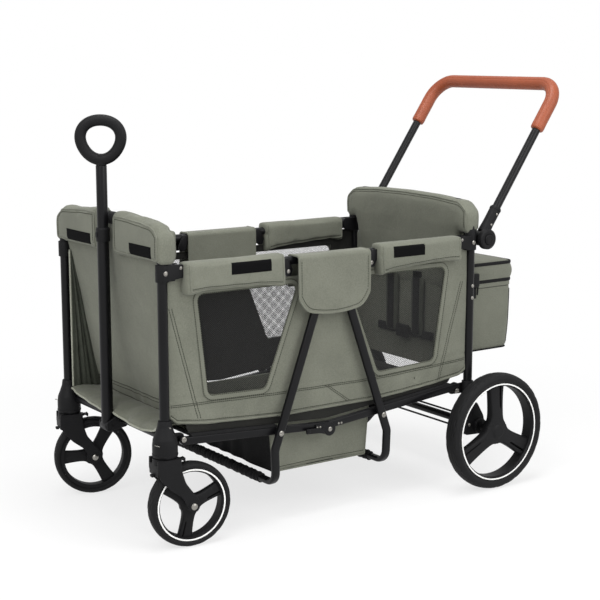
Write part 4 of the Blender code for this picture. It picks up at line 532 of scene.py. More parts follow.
def spoke(angle, hub, rim, half, face, back):
    """A loft outwards along a spoke. Half width: hub fillet + a quadratic flare.
    The face is crowned, with a slot."""
    r = np.linspace(hub * 0.30, rim - 0.0055, 30)
    u = np.linspace(-1, 1, 31)
    share = (r - hub) / (rim - hub)
    width = half * (
        1 + 0.36 * np.clip(share, 0, 1) ** 2 + 0.55 * np.exp(-np.clip(r - hub * 0.7, 0, 1) / (hub * 0.32)))
    depth = face * (1 - 0.42 * np.sin(np.clip(share, 0, 1) * math.pi / 2) ** 1.5)
    crown = 1 - 0.22 * np.abs(u) ** 3.0 - 0.78 * np.abs(u) ** 18
    slot = np.exp(-(((u + 0.42) / 0.075) ** 4))
    inside = 1 / (1 + np.exp(-(share - 0.34) * 40))
    front = depth[:, None] * crown[None] - 0.0085 * (half / 0.02) * inside[:, None] * slot[None]
    rear = -back * (1 - 0.15 * np.abs(u[::-1]) ** 2 - 0.85 * np.abs(u[::-1]) ** 18)
    lift = np.concatenate([front, np.broadcast_to(rear, front.shape)[:, 1:-1]], 1)
    across = width[:, None] * np.concatenate([u, u[::-1][1:-1]])[None]
    e, t = np.array([math.cos(angle), 0, math.sin(angle)]), np.array([-math.sin(angle), 0, math.cos(angle)])
    points = r[:, None, None] * e + across[..., None] * t - lift[..., None] * np.array([0, 1, 0])
    return shell(points, wrap_columns=True, caps="fan")


def rim_shells(radius, width, hub, first, cap):
    """Barrel with two lips, three spokes and a domed hub, the outer face towards -Y."""
    half = width * 0.39
    barrel = soft_turned(
        [(radius, half), (radius, -half), (radius - 0.0052, -half), (radius - 0.0082, -half + 0.0055),
                          (radius - 0.0082, half), (radius, half)], (0, 0, 0), "Y", 120, 0.0012)
    spokes = [spoke(math.radians(first + 120 * k), hub, radius, hub * 0.74, width * 0.34, width * 0.22)
              for k in range(3)]
    boss = soft_turned([(0, -cap), (hub * 0.50, -cap), (hub * 0.66, -cap + 0.0022), (hub * 1.02, -width * 0.30),
                        (hub * 1.02, width * 0.41),
                        (0, width * 0.41)], (0, 0, 0), "Y", 56, 0.002)
    return [barrel, *spokes, boss]


def ring_on_lip(radius, width):
    y = -width * 0.39
    return [soft_turned([(radius - 0.0006, y), (radius - 0.0006, y - 0.0012), (radius - 0.0040, y - 0.0012),
                         (radius - 0.0040, y),
                         (radius - 0.0006, y)], (0, 0, 0), "Y", 160, 0.0004)]


def turned_about_z(shells, centre, turn=0.0):
    c, s = math.cos(turn), math.sin(turn)
    spin = np.array([[c, -s, 0], [s, c, 0], [0, 0, 1]])
    return [(np.array(v) @ spin.T + np.array(centre), f) for v, f in shells]


def wheel(side, end, centre, turn, size, hub, first, cap, waves):
    """Tyre, rim and white ring of one wheel. size: radius, width, rim radius.
    cap: how far the hub's dome reaches outwards, as a share of the width."""
    radius, width, rim = size
    for name, shells, finish, slot, cad in (
            ("tyre_tread", [tyre(radius, rim, width / 2, waves)], RUBBER, "tyre_rubber", "tyre"),
            ("spoked_rim", rim_shells(rim, width, hub, first, width * cap), NYLON, "moulded_black", "rim"),
            ("white_ring", ring_on_lip(rim, width), WHITE_RING, None, None)):
        piece(f"{side}_{end}_{name}", turned_about_z(on_side(shells, SIDES[side]), centre, turn), finish,
              f"{side}_{end}_wheel", [f"{side}_{end}_{cad}"] if cad else [])


REAR_TRACK_HALF, REAR_R, REAR_W, REAR_RIM = 0.309, 0.145, 0.045, 0.1215
for side, sign in SIDES.items():
    centre = (AXLE_X, sign * REAR_TRACK_HALF, REAR_R)
    wheel(side, "rear", centre, 0.0, (REAR_R, REAR_W, REAR_RIM), 0.026, 90, 0.40, 26)


# Casters: forks moulded in one piece, with a round crown under the post's cone, two broad
# blades that sweep back to the axle, a domed axle bolt and a small lock tab.
CASTER_TURN = {"left": -math.radians(6.4), "right": -math.radians(14.5)}
TRAIL, FRONT_R, FRONT_W, FRONT_RIM = 0.055, 0.095, 0.036, 0.0812
BLADE_IN, BLADE_OUT = 0.0212, 0.0275


def blade(sign):
    """A loft from the crown to the axle between a front and a rear edge curve; the section is a soft slab."""
    t = np.linspace(0, 1, 26)
    front = resampled(
        bends([(-0.0272, 0.2060), (-0.0278, 0.178), (-0.0170, 0.158), (0.0020, 0.138), (0.0290, 0.118),
                             (0.0395, 0.0985), (0.0400, 0.0880)], 0.03, 6), 26)
    back = resampled(bends(
        [(0.0272, 0.2060), (0.0280, 0.178), (0.0370, 0.150), (0.0500, 0.132), (0.0660, 0.112), (0.0715, 0.0985),
                            (0.0700, 0.0880)], 0.03, 6), 26)
    middle, across = (front + back) / 2, (back - front) / 2
    close = np.clip((t - 0.90) / 0.10, 0, 1)
    across = across * np.sqrt(1 - 0.92 * close ** 2)[:, None]
    q = np.linspace(0, 2 * math.pi, 40, endpoint=False)
    u = squared(np.cos(q), 0.35)
    w = squared(np.sin(q), 0.35)
    thick = (BLADE_OUT - BLADE_IN) / 2 * (1 + 0.10 * np.cos(t * math.pi))
    y = sign * ((BLADE_IN + BLADE_OUT) / 2) + thick[:, None] * w[None]
    xz = middle[:, None] + across[:, None] * u[None, :, None]
    return shell(np.stack([xz[..., 0], y, xz[..., 1]], -1), wrap_columns=True, caps="fan")


fork = [blade(-1), blade(1),
        soft_turned([(0, 0.2068), (0.0272, 0.2068), (0.0280, 0.2020), (0.0280, 0.1915), (0.0245, 0.1880),
                     (0, 0.1880)], (0, 0, 0), steps=64, radius=0.0018),
        outline_slab(bends([(-0.0278, 0.1950), (-0.0274, 0.1700), (-0.0225, 0.1690), (-0.0080, 0.1905),
                            (0.0190, 0.1940), (0.0190, 0.1960)],
                           0.003, 4, closed=True), -BLADE_IN - 0.003, BLADE_IN + 0.003, edge=0.0010),
        rounded_box((-0.0345, -0.0060, 0.1670), (-0.0265, 0.0060, 0.1735), 0.0025)]
axle_bolt = [soft_turned([(0, BLADE_OUT + 0.0036), (0.0040, BLADE_OUT + 0.0034), (0.0074, BLADE_OUT + 0.0014),
                          (0.0078, BLADE_OUT - 0.0004),
                          (0, BLADE_OUT - 0.0004)], (TRAIL, 0, FRONT_R), "Y", 40, 0.0008)]
washer = soft_turned([(0.0078, BLADE_OUT - 0.001), (0.0128, BLADE_OUT - 0.001), (0.0128, BLADE_OUT + 0.0007),
                      (0.0078, BLADE_OUT + 0.0007)],
                     (TRAIL, 0, FRONT_R), "Y", 40, 0.0004)
tab = [rounded_box((0.0285, -0.0078, 0.1970), (0.0442, 0.0078, 0.2008), 0.0018),
       rounded_box((0.0405, -0.0078, 0.1935), (0.0448, 0.0078, 0.2020), 0.0019),
       pin(0.0032, 0.0076, -0.0076, (0.0315, 0, 0.1990), "Y", 20, 0.0005)]
for side, sign in SIDES.items():
    turn = CASTER_TURN[side]
    top = (XF, sign * HALF, 0)
    hub = (XF + TRAIL * math.cos(turn), sign * HALF + TRAIL * math.sin(turn), FRONT_R)
    piece(f"{side}_moulded_fork", turned_about_z(fork + [washer, *mirrored([washer])], top, turn), NYLON,
          f"{side}_caster", [f"{side}_fork"])
    piece(f"{side}_axle_bolts", turned_about_z(axle_bolt + mirrored(axle_bolt), top, turn), ZINC,
          f"{side}_caster")
    piece(f"{side}_lock_tab", turned_about_z(tab, top, turn), NYLON, f"{side}_lock",
          [f"{side}_caster_lock"])
    first = 20 if side == "left" else 60
    wheel(side, "front", hub, turn, (FRONT_R, FRONT_W, FRONT_RIM), 0.0185, first, 0.42, 20)


# Pull handle: a saddle on the cross rail, a coated outer tube with a nylon collar, a thinner
# tube that slides in it, and a closed grip ring with a soft three-sided outline.
PULL_X, HINGE_Z = XF - 0.017, 0.229
cheek = bends([(PULL_X - 0.011, HINGE_Z + 0.009), (PULL_X - 0.011, HINGE_Z - 0.011), (XF + 0.024, 0.225),
               (XF + 0.024, 0.255), (XF, 0.255)], 0.006, 5, closed=True)
saddle = [outline_slab(cheek, low, low + 0.005, edge=0.0012) for low in (-0.0205, 0.0155)]
saddle += [rounded_box((XF + 0.0005, -0.0168, 0.2285), (XF + 0.0232, 0.0168, 0.2543), 0.003),
           pin(0.0052, 0.0212, -0.0212, (PULL_X, 0, HINGE_Z), "Y", 24, 0.0010)]
piece("pull_saddle", saddle, NYLON, "front_frame", ["pull_hinge_bracket"])
outer = [pin(0.0135, 0.2350, 0.6505, (PULL_X, 0, 0), "Z", 48, 0.0008),
         pin(0.0125, 0.0146, -0.0146, (PULL_X, 0, HINGE_Z), "Y", 40, 0.0015)]
piece("pull_outer_pipe", outer, COATED, "pull_handle", ["pull_outer_tube"])
collar = [soft_turned([(0.0124, 0.6500), (0.0151, 0.6500), (0.0155, 0.6520), (0.0155, 0.6775), (0.0145, 0.6812),
                       (0.0124, 0.6812)],
                      (PULL_X, 0, 0), radius=0.0009),
          rounded_box((PULL_X - 0.0172, -0.0042, 0.6600), (PULL_X - 0.0120, 0.0042, 0.6720), 0.0014)]
piece("pull_collar", collar, NYLON, "pull_handle")
inner = [pin(0.01225, 0.4502, 0.8185, (PULL_X, 0, 0), "Z", 48, 0.0006)]
piece("pull_inner_pipe", inner, COATED, "pull_slider", ["pull_inner_tube"])
RING_R, RING_TURN = 0.0445, math.radians(34.8)
q = np.linspace(0, 2 * math.pi, 120, endpoint=False)
ring_r = RING_R * (1 + 0.035 * np.sin(3 * q))
centre_z = 0.818 + 0.014 + RING_R
route = np.stack([ring_r * np.cos(q) * math.cos(RING_TURN) + PULL_X, -ring_r * np.cos(q) * math.sin(RING_TURN),
                  centre_z + ring_r * np.sin(q) * 0.97], -1)
turning = np.linspace(0, 2 * math.pi, 40, endpoint=False)
oval = np.stack([0.0126 * squared(np.cos(turning), 0.85),
                 0.0129 * squared(np.sin(turning), 0.85)], -1)
grip_up = (math.sin(RING_TURN), math.cos(RING_TURN), 0)
ring = [swept(route, oval, up=grip_up, closed=True),
        soft_turned([(0, 0.8450), (0.0118, 0.8430), (0.0126, 0.8300), (0.0121, 0.8186), (0, 0.8186)],
                    (PULL_X, 0, 0), radius=0.0022)]
piece("pull_ring_grip", ring, NYLON, "pull_ring", ["pull_ring"])

# Push handle: hubs on ears behind the rear posts, a bent coated tube and push buttons.
PUSH_X, PUSH_Z, PUSH_HALF = XR + 0.034, 0.614, 0.233
HANDLE_RUN, HANDLE_RISE = 0.256, 0.371
slope = np.array([HANDLE_RUN, 0, HANDLE_RISE]) / math.hypot(HANDLE_RUN, HANDLE_RISE)


def push_point(share, y):
    """A point on the handle's slope: 0 at the pivot, 1 at the top bar."""
    return (PUSH_X + HANDLE_RUN * share, y, PUSH_Z + HANDLE_RISE * share)


ear = bends([(XR, 0.5890), (PUSH_X - 0.004, 0.5960), (PUSH_X + 0.0160, 0.6060), (PUSH_X + 0.0160, 0.6240),
             (PUSH_X - 0.002, 0.6320),
             (XR, 0.6340)], (0.002, 0.010, 0.013, 0.013, 0.010, 0.002), 5, closed=True)
ears = [outline_slab(ear, -HALF + 0.0165, -HALF + 0.0255, edge=0.0012),
        pin(0.0068, HALF + 0.0170, HALF - 0.0200, (PUSH_X, 0, PUSH_Z), "Y", 28, 0.0006)]
ears = [ears[0], mirrored([ears[1]])[0]]
piece("push_handle_ears", both(ears), NYLON, "rear_frame")
bolts["rear_frame"] += both([screw_head(XR + 0.0005, -HALF - 0.0110, z, 0.0042, -1) for z in (0.500, 0.470)])

HUB_OUT = HALF + 0.030
hub = [soft_turned(
    [(0.0075, -HUB_OUT + 0.0065), (0.0133, -HUB_OUT + 0.0065), (0.0133, -HUB_OUT), (0.0215, -HUB_OUT),
                    (0.0247, -HUB_OUT + 0.0030), (0.0250, -HALF - 0.0152), (0.0185, -HALF - 0.0150),
     (0.0185, -HALF + 0.0160),
                    (0.0075, -HALF + 0.0160), (0.0075, -HUB_OUT + 0.0065)], (PUSH_X, 0, PUSH_Z), "Y", 72,
                    0.0011)]
first, last = (np.array(push_point(0, -PUSH_HALF)) + slope * s for s in (0.0165, 0.088))
steps = np.linspace(0, 1, 30)[:, None]
along = first + (last - first) * steps
swell = 1 + 0.10 * np.exp(-(steps[:, 0] / 0.22) ** 2)
swell[-2:] = (0.985, 0.92)
hub.append(swept(along, disc(0.0140, 40), up=(0, 1, 0), grow=swell))
rib = np.array(push_point(0, -PUSH_HALF)) + slope * 0.080
hub.append(swept([rib, rib + slope * 0.005], disc(0.0147, 40), up=(0, 1, 0)))
piece("left_hub_moulding", hub, NYLON, "push_handle", ["left_push_hub"])
piece("right_hub_moulding", mirrored(hub), NYLON, "push_handle", ["right_push_hub"])
place = [np.array(push_point(0, -PUSH_HALF - 0.0141)) + slope * s for s in (0.040, 0.070)]
piece("hub_screws", both([screw_head(p[0], p[1], p[2], 0.0030, -1) for p in place]), ZINC, "push_handle")
start = 0.0383 / math.hypot(HANDLE_RUN, HANDLE_RISE)
route = bends([push_point(start, -PUSH_HALF), push_point(1, -PUSH_HALF), push_point(1, PUSH_HALF),
               push_point(start, PUSH_HALF)], 0.060, 16)
piece("push_pipe", [swept(route, disc(0.0105), up=(1, 0, 0))], COATED, "push_handle",
      ["push_handle_tube"])
for side, sign in SIDES.items():
    knob = [soft_turned([(0, -HUB_OUT - 0.0030), (0.0060, -HUB_OUT - 0.0027), (0.0105, -HUB_OUT - 0.0024),
                         (0.0124, -HUB_OUT - 0.0012),
                         (0.0125, -HUB_OUT + 0.0012), (0, -HUB_OUT + 0.0012)], (PUSH_X, 0, PUSH_Z), "Y", 56,
                        0.0012),
            soft_turned([(0.0078, -HUB_OUT - 0.0024), (0.0078, -HUB_OUT - 0.0033), (0.0092, -HUB_OUT - 0.0033),
                         (0.0092, -HUB_OUT - 0.0022)],
                        (PUSH_X, 0, PUSH_Z), "Y", 56, 0.0002)]
    piece(f"{side}_hub_button", on_side(knob, sign), NYLON, f"{side}_button",
          [f"{side}_tilt_button"])


# Push grip: a leather sleeve wrapped round the top bar, with a folded band at each end. Its
# edges meet in a cross-stitched seam on the inner side, and the stitches aren't made here.
# The leather is smooth, with fine creases.
def tan_leather():
    made, tree, shader = bare("tan_leather")
    place = shade(tree, "TexCoord").outputs["Object"]
    pores = shade(tree, "TexVoronoi", {"Vector": place, "Scale": 900.0})                 # 1.1 mm grain cells
    crease = shade(tree, "TexNoise", {"Vector": place, "Scale": 120.0, "Detail": 6.0, "Distortion": 0.6})
    cloud = shade(tree, "TexNoise", {"Vector": place, "Scale": 18.0, "Detail": 4.0})
    tone = shade(tree, "Mix", {0: cloud.outputs[0], 6: linear("#833b1c"), 7: linear("#9a4b28")},
                 data_type="RGBA")
    rough = shade(tree, "MapRange", {"Value": crease.outputs[0], "To Min": 0.42, "To Max": 0.58})
    high = shade(tree, "Math", {0: pores.outputs["Distance"], 1: crease.outputs[0]}, operation="ADD")
    bump = shade(tree, "Bump", {"Height": high.outputs[0], "Strength": 0.16, "Distance": 0.0006})
    return wired(made, tree, shader, tone, rough, bump)


LEATHER = tan_leather()
end_share = 1 - 0.112 / HANDLE_RISE
route = resampled(bends([push_point(end_share, -PUSH_HALF), push_point(1, -PUSH_HALF), push_point(1, PUSH_HALF),
                         push_point(end_share, PUSH_HALF)], 0.060, 24), 420)
from_end = np.minimum(np.linspace(0, 1, 420), np.linspace(1, 0, 420)) * 0.68      # metres from the nearer end
grow = 0.0168 * (1 + 0.020 * np.exp(-((from_end - 0.012) / 0.004) ** 2) - 0.30 * np.exp(-from_end / 0.0012))
arcs = disc(1.0, 72)
seam = np.exp(-((np.arctan2(arcs[:, 1], arcs[:, 0]) + math.pi / 2) / 0.07) ** 2)
lines = np.arange(420)[:, None]
wrinkle = 0.004 * np.sin(lines * 0.55 + 2.0 * np.sin(lines * 0.13)) * np.exp(
    -((arcs[None, :, 1] + 0.2) / 0.5) ** 2)
sleeve = arcs[None] * (1 - 0.055 * seam[None, :, None] + wrinkle[..., None]) * grow[:, None, None]
piece("leather_grip", [swept(route, sleeve, up=(1, 0, 0))], LEATHER, "push_handle",
      ["push_grip"])


# Floor rails: flat steel half rails that hinge under the middle, with a riveted disc on each
# side, cross tubes for the footwell and seat boards, and a hook that grips the disc.
# Half the height of a floor rail.
FLOOR_HALF = 0.0085
HINGE_MID = 0.205 + FLOOR_HALF
END_Z = {"front": 0.236, "rear": 0.250}


def rail_height(end, x):
    """Height of a floor rail's middle line, straight from the hinge to the post's pin."""
    return HINGE_MID + (END_Z[end] - HINGE_MID) * np.abs(x - XM) / 0.388


rail_heads = {"front_floor": [], "rear_floor": []}
for end, sign, post in (("front", -1, XF), ("rear", 1, XR)):
    pivot, butt = post - sign * FLOOR_PIN_IN, XM + sign * 0.00025
    bar = [(butt, HINGE_MID - FLOOR_HALF), (pivot, END_Z[end] - FLOOR_HALF),
           (pivot + sign * 0.0098, END_Z[end] + 0.002),
           (pivot + sign * 0.004, END_Z[end] + 0.0120), (pivot - sign * 0.010, END_Z[end] + 0.0082),
           (butt, HINGE_MID + FLOOR_HALF)]
    shells = [outline_slab(bends(bar, (0.001, 0.008, 0.006, 0.006, 0.02, 0.001), 4, closed=True), -HALF - 0.007,
                           -HALF + 0.007, edge=0.0018)]
    low, high = ((-HALF - 0.0115, -HALF - 0.0073) if end == "front" else (-HALF + 0.0073, -HALF + 0.0115))
    shells += [outline_slab(disc(0.016, 56) + (XM, 0.205), low, high, edge=0.0010),
               outline_slab(bends([(XM, HINGE_MID - 0.0068), (XM + sign * 0.0400, HINGE_MID - 0.0068),
                                   (XM + sign * 0.0400, HINGE_MID + 0.0068),
                                   (XM, HINGE_MID + 0.0068)], 0.003, 4, closed=True), low + 0.0002,
                            high - 0.0002, edge=0.0008)]
    x = XM + sign * 0.1555
    shells = both(shells) + [swept(
        [(x, -HALF + 0.006, rail_height(end, x)), (x, HALF - 0.006, rail_height(end, x))], disc(0.0065, 24))]
    piece(f"{end}_floor_rails", shells, COATED, f"{end}_floor", [f"{end}_floor_frame"])
    face = -HALF - (0.0115 if end == "front" else 0.0070)
    rail_heads[f"{end}_floor"] += both(
        [screw_head(XM + sign * s, face, HINGE_MID, 0.0026, -1) for s in (0.028, 0.036)])
    if end == "front":
        rail_heads["front_floor"] += both([screw_head(XM, face, 0.205, 0.0055, -1)])
for body, heads in rail_heads.items():
    piece(f"{body}_rivets", heads, ZINC, body)
pivot, tip = (XM - 0.062, HINGE_MID - 0.004), XM - 0.0172
hook = bends([(pivot[0] - 0.007, pivot[1] + 0.006), (pivot[0] - 0.007, pivot[1] - 0.006),
              (tip - 0.014, pivot[1] - 0.009),
              (tip - 0.002, pivot[1] - 0.012), (tip, pivot[1] - 0.001), (tip - 0.013, pivot[1] + 0.003)],
             0.0028, 4, closed=True)
latch = [outline_slab(hook, -HALF - 0.0156, -HALF - 0.0119, edge=0.0008),
         pin(0.0042, -HALF - 0.0171, -HALF - 0.0073, (pivot[0], 0, pivot[1]), "Y", 24, 0.0006)]
piece("left_latch_hook", latch, COATED, "left_latch", ["left_fold_latch"])
piece("right_latch_hook", mirrored(latch), COATED, "right_latch", ["right_fold_latch"])

# Top rails: round tubes in three lengths a side. Pressed cheeks with riveted pins join them,
# so that the rim folds; the end lengths carry pads and the middle one the flap and the legs.
RAIL_R = 0.010


def hinge_cheek(middle, sign, low, high):
    """The pressed cheek at a middle pivot: it grips the tube and comes down round the pin."""
    outline = [(0.0175, RAIL_Z - 0.0115), (0.0175, RAIL_Z + 0.0082), (0.0010, RAIL_Z + 0.0082),
               (-0.0112, MID_Z + 0.003), (-0.006, MID_Z - 0.0110), (0.008, MID_Z - 0.0105)]
    corners = [(middle + sign * x, z) for x, z in outline]
    return outline_slab(bends(corners, 0.0045, 4, closed=True), low, high, edge=0.0010)


for end, sign, post in (("front", -1, XF), ("rear", 1, XR)):
    pivot, middle = post - sign * TOP_PIN_IN, MID_X[end]
    rail = [
        swept([(pivot + sign * 0.004, -HALF, RAIL_Z), (middle + sign * 0.0003, -HALF, RAIL_Z)], disc(RAIL_R)),
            outline_slab(bends([(pivot - sign * 0.0125, PIVOT_Z - 0.0190), (pivot, PIVOT_Z - 0.0190),
                                (pivot + sign * 0.0087, PIVOT_Z - 0.004),
                                (pivot + sign * 0.003, PIVOT_Z + 0.0086),
                                (pivot - sign * 0.0125, PIVOT_Z - 0.004)], 0.006, 4, closed=True),
                         -HALF - 0.0093, -HALF + 0.0093, edge=0.0012)]
    rail.append(hinge_cheek(middle, sign, -HALF - 0.0130, -HALF - 0.0090))
    piece(f"{end}_rim_tubes", both(rail), COATED, f"{end}_top",
          [f"left_{end}_top_rail", f"right_{end}_top_rail"])
    piece(f"{end}_rim_rivets", both([screw_head(middle, -HALF - 0.0128, MID_Z, 0.0048, -1)]), ZINC,
          f"{end}_top")
rail = [
    swept([(MID_X["front"] + 0.0003, -HALF, RAIL_Z), (MID_X["rear"] - 0.0003, -HALF, RAIL_Z)], disc(RAIL_R))]
for end, sign in (("front", 1), ("rear", -1)):
    rail.append(hinge_cheek(MID_X[end], sign, -HALF + 0.0092, -HALF + 0.0130))
hanger = bends([(XM - 0.033, 0.556), (XM + 0.033, 0.556), (XM + 0.033, RAIL_Z), (XM - 0.033, RAIL_Z)], 0.006, 4,
               closed=True)
rail.append(outline_slab(hanger, -HALF - 0.0127, -HALF - 0.0078, edge=0.0009))
piece("middle_rim_tubes", both(rail), COATED, "middle_top",
      ["left_middle_top_rail", "right_middle_top_rail"])

# Legs: one flat-sided tube an end, from the flap's hanger down past the floor rail, under the
# footwell and up the other side. Steel with the frame's coat; bolts at the rails.
t = np.linspace(0, 2 * math.pi, 36, endpoint=False)
flat = np.stack([0.0065 * squared(np.cos(t), 0.62), 0.010 * squared(np.sin(t), 0.62)], -1)
for end, sign in (("front", -1), ("rear", 1)):
    spots = [(0.021, 0.568), (0.160, 0.180), (0.157, 0.103)]
    left = [(XM + sign * s, -0.255, z) for s, z in spots]
    route = bends(left + [(x, -y, z) for x, y, z in reversed(left)], 0.028, 10)
    piece(f"{end}_leg_tube", [swept(route, flat, up=(1, 0, 0))], COATED, f"{end}_legs",
          [f"{end}_leg_frame"])
    piece(f"{end}_leg_bolts", both([screw_head(XM + sign * 0.146, -0.2613, 0.2205, 0.0064, -1)]), ZINC,
          f"{end}_legs")


# Cloth of the cabin: a coated plain-weave polyester canvas in grey sage, lined with a dark
# one. The weave shows close up; from further off the cloth is matt, faintly mottled and
# a little lighter at grazing angles.
def canvas(name, dark, light, pitch=0.0016, sheen=0.12):
    """Weave: the larger of the X and Z sine bands times the Y one, 1.6 mm apart unless given."""
    made, tree, shader = bare(name)
    place = shade(tree, "TexCoord").outputs["Object"]
    scale = 2 * math.pi / (20 * pitch)
    bands = [shade(tree, "TexWave", {"Vector": place, "Scale": scale, "Distortion": 0.0}, bands_direction=axis)
             for axis in "XYZ"]
    low = shade(tree, "Math", {0: bands[0].outputs["Fac"], 1: bands[2].outputs["Fac"]}, operation="MAXIMUM")
    weave = shade(tree, "Math", {0: low.outputs[0], 1: bands[1].outputs["Fac"]}, operation="MULTIPLY")
    cloud = shade(tree, "TexNoise", {"Vector": place, "Scale": 9.0, "Detail": 5.0, "Roughness": 0.6})
    fibre = shade(tree, "TexNoise", {"Vector": place, "Scale": 420.0, "Detail": 3.0})
    share = shade(tree, "Math", {0: cloud.outputs[0], 1: fibre.outputs[0]}, operation="ADD")
    share = shade(tree, "MapRange", {"Value": share.outputs[0], "From Min": 0.75, "From Max": 1.25})
    tone = shade(tree, "Mix", {0: share.outputs[0], 6: linear(dark), 7: linear(light)}, data_type="RGBA")
    creases = shade(tree, "TexNoise", {"Vector": place, "Scale": 26.0, "Detail": 4.0, "Distortion": 1.2})
    high = shade(tree, "Math", {0: weave.outputs[0], 1: fibre.outputs[0]}, operation="ADD")
    fine = shade(tree, "Bump", {"Height": high.outputs[0], "Strength": 0.25, "Distance": 0.0003})
    bump = shade(tree, "Bump",
                 {"Height": creases.outputs[0], "Normal": fine.outputs[0], "Strength": 0.22, "Distance": 0.006})
    tree.links.new(tone.outputs[2], shader.inputs["Base Color"])
    tree.links.new(bump.outputs[0], shader.inputs["Normal"])
    for key, value in (("Roughness", 0.86), ("Specular IOR Level", 0.22), ("Sheen Weight", sheen),
                       ("Sheen Roughness", 0.5)):
        shader.inputs[key].default_value = value
    return made


SAGE = canvas("sage_canvas", "#66685d", "#75776b")
LINING = canvas("dark_lining", "#191917", "#242421", sheen=0.04)
BLACK_CLOTH = canvas("black_webbing", "#0e0e0f", "#171718", 0.0012, sheen=0.02)
LOOP = plain_gloss("loop_pile", "#0c0c0d", 0.92, 1500.0, 0.5, mirror=0.08)
EDGE = canvas("sage_edge_binding", "#8f9184", "#a3a597")
# Stitch thread for every seam. The stitches are real, but their dark olive colour is painted shade, so that the
# seams show as the dark lines their shade makes.
SEAM_SHADE_THREAD = plain_gloss("thread_painted_seam_shade", "#33352d", 0.8, mirror=0.2)
NET_THREAD = plain_gloss("black_net_thread", "#1b1b1b", 0.75)
WINDOW_TOP, SILL = 0.5555, 0.322
FRONT_WINDOW = ((-0.349, WINDOW_TOP), (-0.323, 0.327), (-0.172, SILL), (-0.082, WINDOW_TOP))
REAR_WINDOW = ((0.050, WINDOW_TOP), (0.144, 0.319), (0.316, 0.326), (0.351, WINDOW_TOP))
PANEL_END, PANEL_TOP = 0.4187, 0.5875


def rods(starts, ends, radius, sides=4):
    """Many straight thin rods in one shell, each from its start to its end point."""
    starts, ends = np.array(starts, float), np.array(ends, float)
    ahead = ends - starts
    ahead /= np.linalg.norm(ahead, axis=1)[:, None] + 1e-12
    other = np.where(np.abs(ahead[:, 2:]) < 0.9, (0, 0, 1.0), (1.0, 0, 0))
    u = np.cross(ahead, other)
    u /= np.linalg.norm(u, axis=1)[:, None]
    v = np.cross(ahead, u)
    t = np.linspace(0, 2 * math.pi, sides, endpoint=False)
    ring = radius * (np.cos(t)[None, :, None] * u[:, None] + np.sin(t)[None, :, None] * v[:, None])
    verts = np.concatenate([starts[:, None] + ring, ends[:, None] + ring], 1).reshape(-1, 3)
    base = np.arange(len(starts))[:, None, None] * 2 * sides
    k = np.arange(sides)
    walls = np.stack([k, (k + 1) % sides, (k + 1) % sides + sides, k + sides], -1)[None]
    caps = np.stack([k[::-1], k + sides])[None]
    return verts, (base + walls).reshape(-1, 4).tolist() + (base + caps).reshape(-1, sides).tolist()


def landed(points, surface, towards):
    """Where each point meets a surface object when it is moved along a direction; None where it misses."""
    tree = BVHTree.FromObject(surface, bpy.context.evaluated_depsgraph_get())
    towards = Vector(towards).normalized()
    return [tree.ray_cast(Vector(p) - towards * 0.03, towards, 0.06)[0] for p in points]


def stitches(name, lines, surface, towards, finish, body, pitch=0.0052, length=0.0038, radius=0.00075,
             lift=0.0003):
    """Short thread rods along polylines that are first landed on the surface object.
    They are 1.5 mm thick unless given, thicker than real thread."""
    starts, ends = [], []
    towards = Vector(towards).normalized()
    for line in lines:
        line = np.array(line, float)
        total = np.linalg.norm(np.diff(line, axis=0), axis=1).sum()
        count = max(2, int(total / pitch))
        hits = landed(resampled(line, 2 * count), surface, towards)
        for a, b in zip(hits[::2], hits[1::2]):
            if a and b and (b - a).length < 2.5 * pitch:
                middle, half = (a + b) / 2 - towards * lift, (b - a).normalized() * length / 2
                starts.append(middle - half)
                ends.append(middle + half)
    return piece(name, [rods(starts, ends, radius)], finish, body)


def laid_cord(line, surface, towards, radius=0.0016, sink=0.0004):
    """A round cord along a polyline that is landed on a surface
    and smoothed by a running mean of five points."""
    hits = [h for h in landed(line, surface, towards) if h]
    points = np.array(hits) + np.array(towards) * sink
    padded_ends = np.vstack([np.repeat(points[:1], 2, 0), points, np.repeat(points[-1:], 2, 0)])
    points = sum(padded_ends[k:len(points) + k] for k in range(5)) / 5
    return swept(points, disc(radius, 10), up=(0.2, 0.3, 1))


def fabric_grid(columns, rows, count):
    """Rows of points on a sheet cut in blocks. columns(z) gives the x of the block edges at a height."""
    xs = []
    for z in rows:
        edges = columns(z)
        xs.append(np.concatenate(
            [np.linspace(a, b, n, endpoint=False) for a, b, n in zip(edges, edges[1:], count)] + [[edges[-1]]]))
    return np.array(xs)


def ripple(x, z, size, seed):
    """Smooth unevenness: three crossed sine waves of unlike length and direction."""
    turn = 1.7 * seed
    return size * (0.5 * np.sin(17 * x + 23 * z + turn) + 0.3 * np.sin(41 * x - 15 * z + 2.1 * turn)
                   + 0.2 * np.sin(29 * x + 61 * z + 0.6 * turn))


# Side panels: one canvas and one lining each, seamed above the hem, with two slanted seams at
# each end and two net windows that have sewn bindings. They hang between the posts from the
# rails and are sewn to the seat boards' edges. On the wagon they fold up with the frame; here
# they ride rigidly on the rear frame.
def panel_columns(z):
    share = np.clip((z - SILL) / (WINDOW_TOP - SILL), 0, 1)
    low = [-0.323, -0.172, 0.144, 0.316]
    high = [-0.349, -0.082, 0.050, 0.351]
    return [-PANEL_END] + [a + (b - a) * share for a, b in zip(low, high)] + [PANEL_END]


def panel_hem(x):
    return np.interp(x, [-PANEL_END, -0.400, -0.327, -0.140, 0.140, 0.278, 0.400, PANEL_END],
                     [0.2905, 0.2750, 0.2650, 0.2533, 0.2533, 0.2630, 0.2770, 0.2905])


def window_sill(x):
    return np.interp(x, [-PANEL_END, -0.323, -0.172, 0.144, 0.316, PANEL_END],
                     [0.330, 0.327, 0.322, 0.319, 0.326, 0.332])


